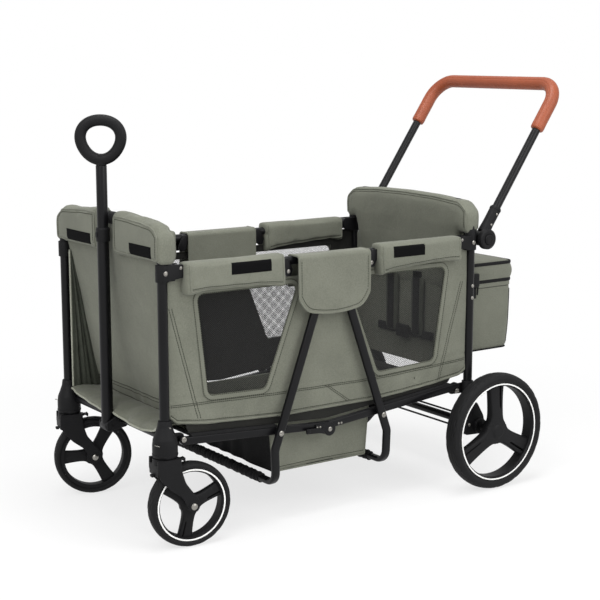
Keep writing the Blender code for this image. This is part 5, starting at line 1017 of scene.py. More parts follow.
def slanted(x, z):
    """Distance from the nearest of the slanted end seams, in the panel's plane."""
    out = np.full(np.shape(x), 1.0)
    for (x0, z0), (x1, z1) in (((-0.415, 0.540), (-0.345, 0.278)), ((0.404, 0.520), (0.331, 0.272)),
                               ((-0.006, 0.310), (0.060, 0.262))):
        d = np.array([x1 - x0, z1 - z0])
        t = np.clip(((x - x0) * d[0] + (z - z0) * d[1]) / (d @ d), 0, 1)
        out = np.minimum(out, np.hypot(x - x0 - t * d[0], z - z0 - t * d[1]))
    return out


counts, bands = (14, 34, 34, 30, 14), (16, 40, 7)
rows = np.concatenate([np.linspace(0, 1, bands[0], endpoint=False), np.linspace(1, 2, bands[1], endpoint=False),
                       np.linspace(2, 3, bands[2])])
level = np.where(rows < 1, SILL, np.where(rows < 2, SILL + (rows - 1) * (WINDOW_TOP - SILL), WINDOW_TOP))
px = fabric_grid(panel_columns, level, counts)
sill, hem = window_sill(px), panel_hem(px)
r = rows[:, None]
dip = np.where(np.abs(px) < 0.1315, 0.5715, PANEL_TOP + 0.006 * np.clip((np.abs(px) - 0.350) / 0.015, 0, 1))
pz = np.where(r < 1, hem + (sill - hem) * r,
              np.where(r < 2, sill + (WINDOW_TOP - sill) * (r - 1), WINDOW_TOP + (dip - WINDOW_TOP) * (r - 2)))
column = np.repeat(np.arange(5), counts)
row = np.repeat([0, 1, 2], (bands[0], bands[1], bands[2] - 1))
hole = (row[:, None] == 1) & ((column == 1) | (column == 3))[None]
near_sill = np.exp(-((pz - sill) / 0.0022) ** 2)
near_slant = np.exp(-(slanted(px, pz) / 0.0022) ** 2)
edge = np.minimum(np.minimum(PANEL_END - np.abs(px), pz - hem), 0.03) / 0.03
swell = 0.0013 * np.sqrt(np.clip(edge, 0, 1))
low_folds = 0.0016 * np.exp(-((pz - 0.285) / 0.03) ** 2) * (
    np.sin(58 * px + 30 * pz) + 0.6 * np.sin(131 * px - 55 * pz))
out = swell + ripple(px, pz, 0.0011, 1) + low_folds - 0.0011 * np.maximum(near_sill, near_slant)
outer_y, lining_y = -HALF - 0.0005, -HALF + 0.0016


def sheet_pair(x, z, y_out, y_in, hole):
    """A closed thin sheet from a grid with some cells cut out:
    front, back and the walls of every free edge."""
    n, m = x.shape
    verts = np.concatenate(
        [np.stack([x, y_out, z], -1).reshape(-1, 3), np.stack([x, y_in, z], -1).reshape(-1, 3)])
    i, j = np.nonzero(~hole)
    a, b, c, d = i * m + j, i * m + j + 1, (i + 1) * m + j + 1, (i + 1) * m + j
    front = np.stack([a, b, c, d], -1)
    edges = np.concatenate([front[:, [k, (k + 1) % 4]] for k in range(4)])
    key = np.sort(edges, 1)
    code = key[:, 0] * (n * m) + key[:, 1]
    _, first, times = np.unique(code, return_index=True, return_counts=True)
    free = edges[first[times == 1]]
    walls = np.stack([free[:, 1], free[:, 0], free[:, 0] + n * m, free[:, 1] + n * m], -1)
    return verts, front.tolist() + (front[:, ::-1] + n * m).tolist() + walls.tolist()


def folds_up(made):
    """Gives the object its own copy of its mesh."""
    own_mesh(made)


def quad_loop(corners, radius, steps=5):
    return bends(corners, radius, steps, closed=True)


def tape(loop, face, width, thick, outwards):
    """A flat soft tape along a closed loop in a panel's plane, centred on it."""
    t = np.linspace(0, 2 * math.pi, 16, endpoint=False)
    flat = np.stack([width / 2 * squared(np.cos(t), 0.6), thick / 2 * squared(np.sin(t), 0.8)], -1)
    route = np.stack([XM + loop[:, 0], np.full(len(loop), face), loop[:, 1]], -1)
    return swept(route, flat, up=(0, outwards, 0), closed=True)


def inset(loop, amount):
    """The loop moved along its in-plane normals; positive is inwards for a counterclockwise loop."""
    ahead = np.roll(loop, -1, 0) - np.roll(loop, 1, 0)
    normal = np.stack([-ahead[:, 1], ahead[:, 0]], -1) / np.linalg.norm(ahead, axis=1)[:, None]
    return loop + normal * amount * (1 if signed_area(loop) > 0 else -1)


panel = sheet_pair(XM + px, pz, outer_y - out, np.full_like(px, outer_y + 0.0010) - ripple(px, pz, 0.0008, 1),
                   hole)
board = rail_height("front", XM + px) * (px < 0) + rail_height("rear", XM + px) * (px >= 0) + 0.0160
lz = np.where(r < 1, pz - (1 - r) * np.clip(hem - board, 0, 0.03) * (np.abs(px) < 0.372), pz)
lining = sheet_pair(XM + px, lz, np.full_like(px, lining_y) - ripple(px, pz, 0.0004, 2),
                    np.full_like(px, lining_y + 0.0009) + ripple(px, pz, 0.0004, 2), hole)
loops = [quad_loop(window, 0.016) for window in (FRONT_WINDOW, REAR_WINDOW)]
binding = [tape(resampled(inset(loop, -0.0045), 220, closed=True), outer_y - 0.0018, 0.0135, 0.0019, -1)
           for loop in loops]
xs = np.linspace(-0.4175, 0.4175, 160)
welt = [swept([(XM + x, outer_y - 0.0017, z) for x, z in zip(xs, panel_hem(xs) + 0.004)], disc(0.0024, 10))]
for side, sign in SIDES.items():
    body = "rear_frame"
    cloth = piece(f"{side}_panel_canvas", on_side([panel], sign), SAGE, body,
                  [f"{side}_side_panel"], sharp=60)
    inner_cloth = piece(f"{side}_panel_lining", on_side([lining], sign), LINING, body, sharp=60)
    bound = piece(f"{side}_window_bindings", on_side(binding, sign), SAGE, body, sharp=60)
    hem_piping = piece(f"{side}_panel_hem", on_side(welt, sign), SAGE, body, sharp=60)
    lines = []
    for loop in loops:
        for at in (0.0010, -0.0098):
            line = inset(loop, at)
            lines.append([(XM + x, sign * HALF, z) for x, z in np.vstack([line, line[:1]])])
    thread = stitches(f"{side}_window_stitches", lines, bound, (0, -sign, 0), SEAM_SHADE_THREAD, body)
    lines = []
    for (x0, z0), (x1, z1) in (((-0.412, 0.528), (-0.346, 0.282)), ((0.402, 0.512), (0.333, 0.276)),
                               ((-0.004, 0.308), (0.058, 0.264))):
        for s in (-0.0035, 0.0035):
            lines.append([(XM + x0 + s, sign * HALF, z0), (XM + x1 + s, sign * HALF, z1)])
    xs = np.linspace(-0.414, 0.414, 60)
    for s in (-0.0120, -0.0160):
        lines.append([(XM + x, sign * HALF, z + s) for x, z in zip(xs, window_sill(xs))])
    lines.append([(XM + x, sign * HALF, z + 0.0095) for x, z in zip(xs, panel_hem(xs))])
    seams = stitches(f"{side}_panel_stitches", lines, cloth, (0, -sign, 0), SEAM_SHADE_THREAD, body)
    for made in (cloth, inner_cloth, bound, hem_piping, thread, seams):
        folds_up(made)


# Window nets: black knotless net of real threads at 45 degrees, 0.9 mm thick and 3.2 mm
# apart, held between canvas and lining and sewn in behind the bindings.
def net_threads(quad, y, pitch=0.0032, radius=0.00045):
    """Both sets of diagonals, clipped to a convex quad by its edges' half planes."""
    quad = np.array(quad, float)
    quad = quad if signed_area(quad) > 0 else quad[::-1]
    edge = np.roll(quad, -1, 0) - quad
    normal = np.stack([-edge[:, 1], edge[:, 0]], -1)
    starts, ends = [], []
    for turn, layer in ((math.pi / 4, -0.0002), (-math.pi / 4, 0.0002)):
        d = np.array([math.cos(turn), math.sin(turn)])
        n = np.array([-d[1], d[0]])
        reach = quad @ n
        offset = np.arange(math.ceil(reach.min() / pitch), math.floor(reach.max() / pitch) + 1) * pitch
        o = offset[:, None] * n
        slope = normal @ d
        gap = ((quad[None] - o[:, None]) * normal[None]).sum(-1) / slope
        low = np.where(slope > 0, gap, -9).max(1)
        high = np.where(slope < 0, gap, 9).min(1)
        keep = high - low > 0.004
        for out, t in ((starts, low), (ends, high)):
            p = o + t[:, None] * d
            out.append(np.stack([XM + p[:, 0], np.full(len(p), y + layer), p[:, 1]], -1)[keep])
    return rods(np.vstack(starts), np.vstack(ends), radius)


nets = []
for window in (FRONT_WINDOW, REAR_WINDOW):
    (a, b, c, d) = window
    wide = ((a[0] - 0.004, a[1] + 0.004), (b[0] - 0.004, b[1] - 0.005), (c[0] + 0.005, c[1] - 0.005),
            (d[0] + 0.005, d[1] + 0.004))
    nets.append(net_threads(wide, -HALF + 0.0010))
for side, sign in SIDES.items():
    net = piece(f"{side}_net", on_side(nets, sign), NET_THREAD, "rear_frame",
                [f"{side}_window_net"], recalculate=False)
    folds_up(net)


# End walls: the front cloth leans in from the arch to the seat board, seamed above a hem that
# its fixings draw into folds; the rear wall is a foam panel in the same canvas.
def skin_pair(front, back, hole=None):
    """A closed sheet between two point grids: both faces and the walls of every free edge."""
    n, m = front.shape[:2]
    hole = np.zeros((n - 1, m - 1), bool) if hole is None else hole
    verts, faces = sheet_pair(front[..., 0], front[..., 2], front[..., 1], back[..., 1], hole)
    verts[n * m:] = back.reshape(-1, 3)
    return verts, faces


WALL_TOP, WALL_HEM, LEAN = 0.6340, 0.262, 0.075
v = np.concatenate([np.linspace(0, 1, 76, endpoint=False), np.linspace(1, 1.15, 12)])
u = np.linspace(-1, 1, 121)
vv, uu = np.meshgrid(v, u, indexing="ij")
wz = WALL_HEM + (WALL_TOP - WALL_HEM) * vv + 0.009 * uu ** 2 * np.clip(1 - vv * 3, 0, 1)
lean = LEAN * np.clip((WALL_TOP - wz) / (WALL_TOP - WALL_HEM), 0, 1)
half = 0.2203 + 0.0110 * np.clip((lean - 0.014) / 0.010, 0, 1)
half = np.where(vv > 0.999, 0.0413, half)
wy = uu * half
drawn = np.exp(-((wz - 0.280) / 0.020) ** 2)
sag_back = 0.004 * np.sin(np.clip(vv, 0, 1) * math.pi) * (1 - uu ** 2)
wx = XF + 0.002 + lean + ripple(wy, wz, 0.0022,
                                3) + 0.0014 * drawn * np.sin(95 * wy + 2.2 * np.sin(31 * wy)) - sag_back
wx += 0.0018 * np.exp(-((wz - 0.2905) / 0.0025) ** 2)
front_cloth = skin_pair(np.stack([wx, wy, wz], -1), np.stack([wx + 0.0030, wy, wz], -1))
wall = piece("front_wall_canvas", [front_cloth], SAGE, "front_frame", ["front_end_wall"],
             sharp=60)
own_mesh(wall)
lines = [[(XF, y, z) for y in np.linspace(-0.225, 0.225, 90)] for z in (0.2865, 0.2945)]
hem_line = [[(XF, y, WALL_HEM + 0.009 * (y / 0.225) ** 2 + 0.006) for y in np.linspace(-0.220, 0.220, 90)]]
seams = stitches("front_wall_stitches", [np.array(line) + (0.06, 0, 0) for line in lines + hem_line], wall,
                 (1, 0, 0), SEAM_SHADE_THREAD, "front_frame")
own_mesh(seams)


# Below the wall a loose hem hangs forward over the cross tube in two lobes, with a bound edge,
# and at each side a pleated gusset of the sage canvas joins the leaning wall to the post.
# Painted shade: the gussets' sage canvas is given a dark olive colour for the shade that falls in these
# corners.
GUSSET_PAINTED_SHADE_CLOTH = canvas("sage_gusset_painted_shade", "#34372f", "#454840", sheen=0.05)
u = np.linspace(-1, 1, 181)[None]
v = np.linspace(0, 1, 30)[:, None]
hy = u * 0.2165 + 0 * v
lip = np.interp(hy, [-0.2165, -0.1875, -0.140, -0.086, -0.030, 0.0, 0.050, 0.120, 0.190, 0.2165],
                [0.2640, 0.2550, 0.2462, 0.2466, 0.2525, 0.2580, 0.2505, 0.2560, 0.2660, 0.2720])
lip = sum(np.roll(lip, k, axis=1) for k in (-3, -2, -1, 0, 1, 2, 3)) / 7
lip[:, :3], lip[:, -3:] = lip[:, 3:4], lip[:, -4:-3]
gather = np.sin(v * math.pi * 0.75) * (
    0.0048 * np.sin(44 * hy + 2.4 * np.sin(23 * hy) + 3 * v) + 0.0024 * np.sin(97 * hy + 1.3 - 4 * v))
hx = XF + 0.0755 - 0.0785 * np.sin(v * math.pi / 2) ** 1.25 - gather
hz = 0.2655 + 0.0040 * np.sin(v * math.pi) + (lip - 0.2655) * v ** 2.2 + gather * 0.5
hem = piece("front_hem_canvas", [skin_pair(np.stack([hx, hy, hz], -1), np.stack([hx, hy, hz + 0.0022], -1))],
            SAGE, "front_frame", sharp=70)
lip_line = np.stack([hx[-1], hy[-1], hz[-1] + 0.0008], -1)
bound = [swept(lip_line, disc(0.0026, 10), up=(1, 0, 0.2))]
z = np.linspace(0.2720, 0.6050, 60)[:, None]
u = np.linspace(0, 1, 60)[None]
reach = LEAN * (WALL_TOP - z) / (WALL_TOP - WALL_HEM)
gx = XF + 0.0035 + u * np.maximum(reach - 0.0015, 0.001)
pleat = 0.0036 * (0.7 * np.sin(u * 17 + 5 * z) + 0.5 * np.sin(u * 31 - 9 * z)) * np.sin(u * math.pi) * np.clip(
    reach / 0.03, 0, 1)
gy = 0.2140 + pleat
gusset = skin_pair(np.stack([gx, gy, z + 0 * u], -1), np.stack([gx, gy + 0.0018, z + 0 * u], -1))
gussets = {"left": piece("left_front_gusset", mirrored([gusset]), GUSSET_PAINTED_SHADE_CLOTH, "front_frame", sharp=70),
           "right": piece("right_front_gusset", [gusset], GUSSET_PAINTED_SHADE_CLOTH, "front_frame", sharp=70)}
bound += both([swept([(XF + 0.0032, 0.2155, height) for height in np.linspace(0.2745, 0.6050, 40)],
                     disc(0.0023, 10), up=(1, 0, 0))])
binding = piece("front_edge_binding", bound, EDGE, "front_frame")
for made in (hem, binding, *gussets.values()):
    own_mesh(made)


def pillow(outline, low, high, puff, rows=14, seed=0, rough=0.0):
    """Foam in cloth between two depths in X: copies of an outline, shrunk to a share,
    rise by puff * (1 - share^4)^0.5."""
    outline = np.array(outline, float)
    middle = outline.mean(0)
    share = 1 - np.linspace(0, 1, rows) ** 1.6
    rise = np.sqrt(np.clip(1 - share ** 4, 0, 1))
    side = np.linspace(0, 1, 5)
    levels = [(s, low + puff * (1 - r)) for s, r in zip(share[::-1][:-1], rise[::-1][:-1])]
    levels += [(1.0, low + puff + (high - low - 2 * puff) * t) for t in side]
    levels += [(s, high - puff * (1 - r)) for s, r in zip(share[1:], rise[1:])]
    flat = np.array([middle + (outline - middle) * max(s, 0.012) for s, _ in levels])
    depth = np.broadcast_to(np.array([d for _, d in levels])[:, None], flat.shape[:2])
    depth = depth + ripple(flat[..., 0], flat[..., 1], rough,
                           seed) * np.array([1 - s ** 6 for s, _ in levels])[:, None]
    return shell(np.stack([depth, flat[..., 0], flat[..., 1]], -1), wrap_columns=True, caps="fan")


back_outline = resampled(bends([(-0.2200, 0.2725), (0.2200, 0.2725), (0.2200, 0.5870), (0.2085, 0.5880),
                                (0.2085, 0.6300), (-0.2085, 0.6300),
                                (-0.2085, 0.5880), (-0.2200, 0.5870)],
                               (0.012, 0.012, 0.004, 0.003, 0.004, 0.004, 0.003, 0.004), 5, closed=True), 260,
                         closed=True)
rear_pad_wall = piece("rear_wall_panel",
                      [pillow(back_outline, XR - 0.0062, XR + 0.0058, 0.0042, seed=4, rough=0.0010)],
                      SAGE, "rear_frame", ["rear_end_wall"], sharp=70)

# Harness: two foam shoulder pads on webbing in front of the rear wall, a lap strap and its
# buckle. The pads are a darker grey green, the webbing black.
PAD_CLOTH = canvas("harness_pad_cloth", "#3f4239", "#4b4e44")
pads, webs = [], []
for y in (-0.052, 0.052):
    outline = resampled(bends([(y - 0.022, 0.345), (y + 0.022, 0.345), (y + 0.026, 0.499), (y - 0.026, 0.499)],
                              0.012, 6, closed=True), 90, closed=True)
    pads.append(pillow(outline, XR - 0.0182, XR - 0.0064, 0.0045, 8, seed=y * 40, rough=0.0006))
    webs.append(rounded_box((XR - 0.0195, y - 0.0125, 0.350), (XR - 0.0180, y + 0.0125, 0.512), 0.0007, 2))
shoulder = piece("harness_pads", pads, PAD_CLOTH, "rear_frame", ["rear_harness"], sharp=70)
webs += [rounded_box((XR - 0.0195, y - 0.0125, 0.497), (XR - 0.0068, y + 0.0125, 0.5125), 0.0010, 2)
         for y in (-0.052, 0.052)]
webs.append(rounded_box((XR - 0.0142, -0.110, 0.3410), (XR - 0.0064, 0.110, 0.3610), 0.0015, 3))
piece("harness_webbing", webs, BLACK_CLOTH, "rear_frame")
buckle = [rounded_box((XR - 0.0235, -0.024, 0.3340), (XR - 0.0135, 0.024, 0.3680), 0.0035),
          rounded_box((XR - 0.0250, -0.008, 0.3430), (XR - 0.0225, 0.008, 0.3590), 0.0012)]
piece("harness_buckle", buckle, NYLON, "rear_frame")


# End pads: foam over both arches in sage canvas, made of two faces and a boxing strip with a
# piped seam between. The front one is split for the pull handle. Patches of loop pile are
# sewn on the front pads' outer faces.
def stuffed(made, pressure=4.0, voxel=0.0055, frames=20, reach=0.009):
    """Cloth simulation of a filled cover: remesh, inflate for some frames, and cap each point's movement."""
    mesh = made.data
    scene = bpy.context.scene
    remesh = made.modifiers.new("remesh", "REMESH")
    remesh.mode, remesh.voxel_size, remesh.use_smooth_shade = "VOXEL", voxel, True
    graph = bpy.context.evaluated_depsgraph_get()
    even = bpy.data.meshes.new_from_object(made.evaluated_get(graph))
    made.modifiers.clear()
    trial = bpy.data.objects.new(f"{made.name}_trial", even)
    scene.collection.objects.link(trial)
    cloth = trial.modifiers.new("cloth", "CLOTH")
    cloth.settings.quality = 6
    cloth.settings.mass = 0.25
    cloth.settings.tension_stiffness = cloth.settings.compression_stiffness = 12
    cloth.settings.bending_stiffness = 0.35
    cloth.settings.shrink_min = -0.035
    cloth.settings.use_pressure = True
    cloth.settings.uniform_pressure_force = pressure
    cloth.settings.effector_weights.gravity = 0
    cloth.point_cache.frame_start, cloth.point_cache.frame_end = 1, frames
    for f in range(1, frames + 1):
        scene.frame_set(f)
    done = bpy.data.meshes.new_from_object(trial.evaluated_get(bpy.context.evaluated_depsgraph_get()))
    scene.frame_set(1)
    count = len(even.vertices)
    rest, moved = np.empty(count * 3), np.empty(count * 3)
    even.vertices.foreach_get("co", rest)
    done.vertices.foreach_get("co", moved)
    rest, moved = rest.reshape(-1, 3), moved.reshape(-1, 3)
    step = moved - rest
    size = np.linalg.norm(step, axis=1)[:, None] + 1e-9
    step *= np.minimum(size, reach) / size
    even.vertices.foreach_set("co", (rest + step).ravel())
    even.materials.clear()
    even.materials.append(mesh.materials[0])
    finer = made.modifiers.new("finer", "SUBSURF")
    finer.levels = finer.render_levels = 1
    made.data = even
    even.shade_smooth()
    bpy.data.objects.remove(trial, do_unlink=True)


PAD_THICK = 0.040
PAD_OUTLINE = bends([(-0.2480, 0.620), (-0.2480, 0.684), (-0.214, 0.7115), (-0.110, 0.7185), (0.0, 0.7205)],
                    0.034, 12)


def pad_top(y):
    """Height of an end pad's crest: read from half its outline, a low crown between round shoulders."""
    line = np.array(PAD_OUTLINE)
    return np.interp(-np.abs(y), line[:, 0] + np.arange(len(line)) * 1e-7, line[:, 1])


def quarter_round(distance, radius):
    """Height of a quarter circle at a distance from its foot: 0 at the edge, 1 from the radius on."""
    return np.sqrt(np.clip(1 - (1 - np.clip(distance / radius, 0, 1)) ** 2, 0, 1))


def end_pad(first, last, x, foot, round_first, round_last, skirt, seed):
    """A loft along Y: each section is a superellipse between the foot and the crest,
    narrowing at rounded ends.
    A skirt goes further down between the posts, where its thickness shrinks to a third."""
    s = np.linspace(0, 1, 90)
    s = 0.5 - 0.5 * np.cos(s * math.pi)
    y = first + (last - first) * s
    from_first, from_last = np.abs(y - first), np.abs(last - y)
    close = np.minimum(quarter_round(from_first, round_first),
                       quarter_round(from_last, round_last))
    t = np.linspace(0, 2 * math.pi, 84, endpoint=False)
    cx = squared(np.cos(t), 0.36)
    cz = squared(np.sin(t), 0.34)
    top = pad_top(y)
    between = np.clip((0.2075 - np.abs(y)) / 0.012, 0, 1)
    low = foot + (1 - close) * 0.006 - skirt * between ** 2 * (3 - 2 * between)
    half, middle = (top - (1 - close) * 0.006 - low) / 2, (top - (1 - close) * 0.006 + low) / 2
    pz = middle[:, None] + half[:, None] * cz[None]
    thin = np.clip((foot + 0.024 - pz) / (skirt + 0.004), 0, 1) if skirt else 0 * pz
    wide = PAD_THICK / 2 * (0.30 + 0.70 * close)[:, None] * (1 - 0.66 * thin ** 2 * (3 - 2 * thin))
    px = x + wide * cx[None]
    px = px + ripple(np.broadcast_to(y[:, None], px.shape), pz, 0.0010, seed) * np.abs(cx)[None]
    py = np.broadcast_to(y[:, None], px.shape)
    return shell(np.stack([px, py, pz], -1), wrap_columns=True, caps="fan")


def loop_patch(name, corner, along, down, surface, towards, body):
    """A rectangle of black loop pile, 1.4 mm thick, that follows the pad's face:
    corner + a * along + b * down."""
    corner, along, down, towards = (np.array(a, float) for a in (corner, along, down, towards))
    a, b = np.meshgrid(np.linspace(0, 1, 26), np.linspace(0, 1, 10), indexing="ij")
    points = corner + a[..., None] * along + b[..., None] * down
    hits = landed(points.reshape(-1, 3), surface, towards)
    face = np.array([h if h else p for h, p in zip(hits, points.reshape(-1, 3))]).reshape(points.shape)
    rim = np.minimum(np.minimum(a, 1 - a) * np.linalg.norm(along), np.minimum(b, 1 - b) * np.linalg.norm(down))
    lift = 0.0014 * np.sqrt(np.clip(rim / 0.0012, 0, 1)) + 0.0002
    return piece(name, [skin_pair(face - towards * lift[..., None], face + towards * 0.0006)], LOOP, body,
                 sharp=50)


pad_x = {"front": XF + 0.007, "rear": XR}
PAD_FOOT = {"front": 0.6262, "rear": 0.6300}
PAD_END, PAD_SPLIT = 0.2478, 0.0400
# Each pad: its end, first and last y, the roundings there, its skirt and the seed of its ripple.
PADS = {"left_front": ("front", -PAD_END, -PAD_SPLIT, 0.007, 0.008, 0.0, 5),
        "right_front": ("front", PAD_SPLIT, PAD_END, 0.008, 0.007, 0.0, 6),
        "rear": ("rear", -PAD_END, PAD_END, 0.008, 0.008, 0.160, 7)}
end_pads = {}
for name, (end, first, last, round_first, round_last, skirt, seed) in PADS.items():
    foam = end_pad(first, last, pad_x[end], PAD_FOOT[end], round_first, round_last, skirt, seed)
    slot, cad = (None, []) if name == "right_front" else ("sage_canvas", [f"{end}_end_pad"])
    end_pads[name] = piece(f"{name}_arch_pad", [foam], SAGE, f"{end}_frame", cad, sharp=70)
for pad in end_pads.values():
    stuffed(pad, reach=0.0035)


def face_outline(first, last, foot, inset_by):
    """The outline of an end pad's face, moved inwards:
    up the first end, over the crest, down the last, and back."""
    y = np.linspace(first + inset_by, last - inset_by, 60)
    crest = np.stack([y, pad_top(y) - inset_by], -1)
    return resampled(np.vstack([(y[0], foot + inset_by), crest, (y[-1], foot + inset_by)]), 400)


for name, (end, first, last, *_) in PADS.items():
    cords, sewn = [], []
    body, foot = f"{end}_frame", PAD_FOOT[end]
    for towards in ((1, 0, 0), (-1, 0, 0)):
        face = pad_x[end] - towards[0] * 0.020
        edge = face_outline(first, last, foot, 0.0085)
        if name != "rear":
            edge = np.vstack([edge, resampled([edge[-1], edge[0]], 120)[1:]])
        cords.append(laid_cord(np.column_stack([np.full(len(edge), face), edge]), end_pads[name], towards,
                               0.0021, -0.0002))
        inner = face_outline(first, last, foot, 0.0145)
        sewn.append((np.column_stack([np.full(len(inner), face), inner]), towards))
    piece(f"{name}_pad_piping", cords, SAGE, body)
    for k, (line, towards) in enumerate(sewn):
        stitches(f"{name}_pad_stitches_{k}", [line], end_pads[name], towards, SEAM_SHADE_THREAD, body)
loop_patch("left_front_pad_velcro", (XF - 0.014, -0.216, 0.6610), (0, 0.096, 0), (0, 0, -0.027),
           end_pads["left_front"], (1, 0, 0), "front_frame")
loop_patch("right_front_pad_velcro", (XF - 0.014, 0.066, 0.6610), (0, 0.121, 0), (0, 0, -0.027),
           end_pads["right_front"], (1, 0, 0), "front_frame")
# A black sleeve covers the arch between the two front pads.
sleeve = [soft_turned([(0, -0.0450), (0.0142, -0.0450), (0.0148, 0.0), (0.0142, 0.0450), (0, 0.0450)],
                      (XF + 0.012, 0, 0.700), "Y", 40, 0.002)]
piece("front_arch_sleeve", sleeve, BLACK_CLOTH, "front_frame")


# Side pads: foam sleeves in sage canvas round the rim's end tubes, open at their ends, with a
# piped hem. The outer ones on the left carry patches of loop pile.
# The middle of the rim pads, across the wagon.
LANE_Y = 0.2408


def side_sleeve(x0, x1, low0, low1, seed):
    """A loft along X: each section is a superellipse in the pad's lane; its foot follows a slope."""
    s = 0.5 - 0.5 * np.cos(np.linspace(0, 1, 60) * math.pi)
    x = x0 + (x1 - x0) * s
    from_end = np.minimum(x - x0, x1 - x)
    close = quarter_round(from_end, 0.007)
    t = np.linspace(0, 2 * math.pi, 64, endpoint=False)
    cy = squared(np.cos(t), 0.42)
    cz = squared(np.sin(t), 0.40)
    flare = np.exp(-((x - x0) / 0.030) ** 2) + 1.2 * np.exp(-((x - x1) / 0.034) ** 2)
    low = low0 + (low1 - low0) * s + (1 - close) * 0.002 - 0.0030 * flare + 0.0010 * np.sin(26 * s + seed)
    top = 0.6285 - (1 - close) * 0.005
    half, middle = (top - low) / 2, (top + low) / 2
    wide = 0.0213 * (0.30 + 0.70 * close)
    py = -LANE_Y + wide[:, None] * cy[None]
    pz = middle[:, None] + half[:, None] * cz[None]
    py = py + 0.0030 * np.sign(cy)[None] * flare[:, None] * np.clip((0.600 - pz) / 0.03, 0, 1)
    px = np.broadcast_to(x[:, None], py.shape)
    py = py + ripple(px, pz, 0.0007, seed) * np.abs(cy)[None]
    return shell(np.stack([px, py, pz], -1), wrap_columns=True, caps="fan")


spans = {"front": (XF + 0.0465, XM - 0.1340, 0.5625, 0.5590),
         "rear": (XM + 0.1340, XR - 0.0500, 0.5590, 0.5740)}
rim_pads = {}
for end, (x0, x1, low0, low1) in spans.items():
    for side, sign in SIDES.items():
        shells = [side_sleeve(x0, x1, low0, low1, seed=8 + 2 * (end == "rear") + (sign > 0))]
        pad = piece(f"{side}_{end}_rim_pad", on_side(shells, sign), SAGE, f"{end}_top",
                    [f"{side}_{end}_side_pad"], sharp=70)
        stuffed(pad, voxel=0.0045, reach=0.003)
        rim_pads[side, end] = pad
        x = np.linspace(x0 + 0.0065, x1 - 0.0065, 110)
        a = (x - x0) / (x1 - x0)
        hem = low0 + (low1 - low0) * a + 0.0050 - 0.0030 * (
            np.exp(-((x - x0) / 0.030) ** 2) + 1.2 * np.exp(-((x - x1) / 0.034) ** 2))
        cords = []
        for dy in (-0.0195, 0.0195):
            route = [(x[0], sign * LANE_Y + dy, z) for z in np.linspace(0.6235, hem[0], 24)] + [
                (b, sign * LANE_Y + dy, c) for b, c in zip(x[1:-1], hem[1:-1])]
            route += [(x[-1], sign * LANE_Y + dy, z) for z in np.linspace(hem[-1], 0.6235, 24)]
            cords.append(laid_cord(route, pad, (0, -np.sign(dy), 0), 0.0021, -0.0002))
            inner = [(b, sign * LANE_Y + dy, c + 0.0055) for b, c in zip(x[2:-2], hem[2:-2])]
            stitches(f"{side}_{end}_rim_pad_stitches_{'out' if dy * sign > 0 else 'in'}", [inner], pad,
                     (0, -np.sign(dy), 0), SEAM_SHADE_THREAD, f"{end}_top")
        piece(f"{side}_{end}_rim_pad_piping", cords, SAGE, f"{end}_top")
loop_patch("front_rim_velcro", (XM - 0.276, -0.262, 0.6195), (0.103, 0, 0), (0, 0, -0.026),
           rim_pads["left", "front"], (0, 1, 0), "front_top")
loop_patch("rear_rim_velcro", (XM + 0.168, -0.262, 0.6195), (0.094, 0, 0), (0, 0, -0.026),
           rim_pads["left", "rear"], (0, 1, 0), "rear_top")


# Middle flaps: two layers of canvas over the middle tubes and the legs' heads, with a bound
# edge. The outer side is longer and has a curved tip; the inner one is short and straight.
def flap_tip(x):
    """Lower edge of the outer side: a shallow curve that turns up at round corners."""
    a = np.abs(x) / 0.100
    return 0.4830 + 0.016 * a ** 2 + 0.026 * np.clip((a - 0.62) / 0.38, 0, 1) ** 2.6


x = np.linspace(-0.0985, 0.0985, 61)
tip = flap_tip(x)
v = np.linspace(0, 1, 34)[:, None]
# The flap's faces outside and inside the rail.
FLAP_OUT, FLAP_IN = 0.2650, 0.2190
crown = bends([(-FLAP_OUT, 0.600), (-FLAP_OUT, 0.6195), (-FLAP_IN, 0.6195), (-FLAP_IN, 0.600)], 0.010, 8)
outer_z = tip[None] + (0.600 - tip[None]) * v
bow = 0.0022 * np.sin(np.clip(v, 0, 1) * math.pi) * np.cos(x / 0.0985 * 1.2)[None]
side_out = np.stack([np.broadcast_to(XM + x, outer_z.shape), -FLAP_OUT - bow * 0.6, outer_z], -1)
over = np.stack(
    [np.broadcast_to(XM + x, (len(crown) - 1, 61)), np.broadcast_to(crown[1:, :1], (len(crown) - 1, 61)),
                 np.broadcast_to(crown[1:, 1:], (len(crown) - 1, 61))], -1)
inner_z = 0.600 + (0.5470 - 0.600) * np.linspace(0, 1, 14)[1:, None]
side_in = np.stack(np.broadcast_arrays(XM + x[None], np.full_like(inner_z, -FLAP_IN), inner_z), -1)
face = np.vstack([side_out, over, side_in])
face[..., 1] += ripple(face[..., 0] * 0.8, face[..., 2], 0.0010, 9)
along = np.gradient(face, axis=0)
normal = np.cross(np.gradient(face, axis=1), along)
normal /= np.linalg.norm(normal, axis=-1)[..., None]
if normal[5, 30, 1] > 0:
    normal = -normal
flap = skin_pair(face, face - normal * 0.0030)
edge_loop = np.vstack([face[0], face[1:, -1], face[-1, ::-1][1:], face[::-1, 0][1:-1]]) - np.vstack(
    [normal[0], normal[1:, -1], normal[-1, ::-1][1:], normal[::-1, 0][1:-1]]) * 0.0012
bound_edge = [swept(resampled(edge_loop, 300, closed=True), disc(0.0024, 12), up=(0, 0.2, 1), closed=True)]
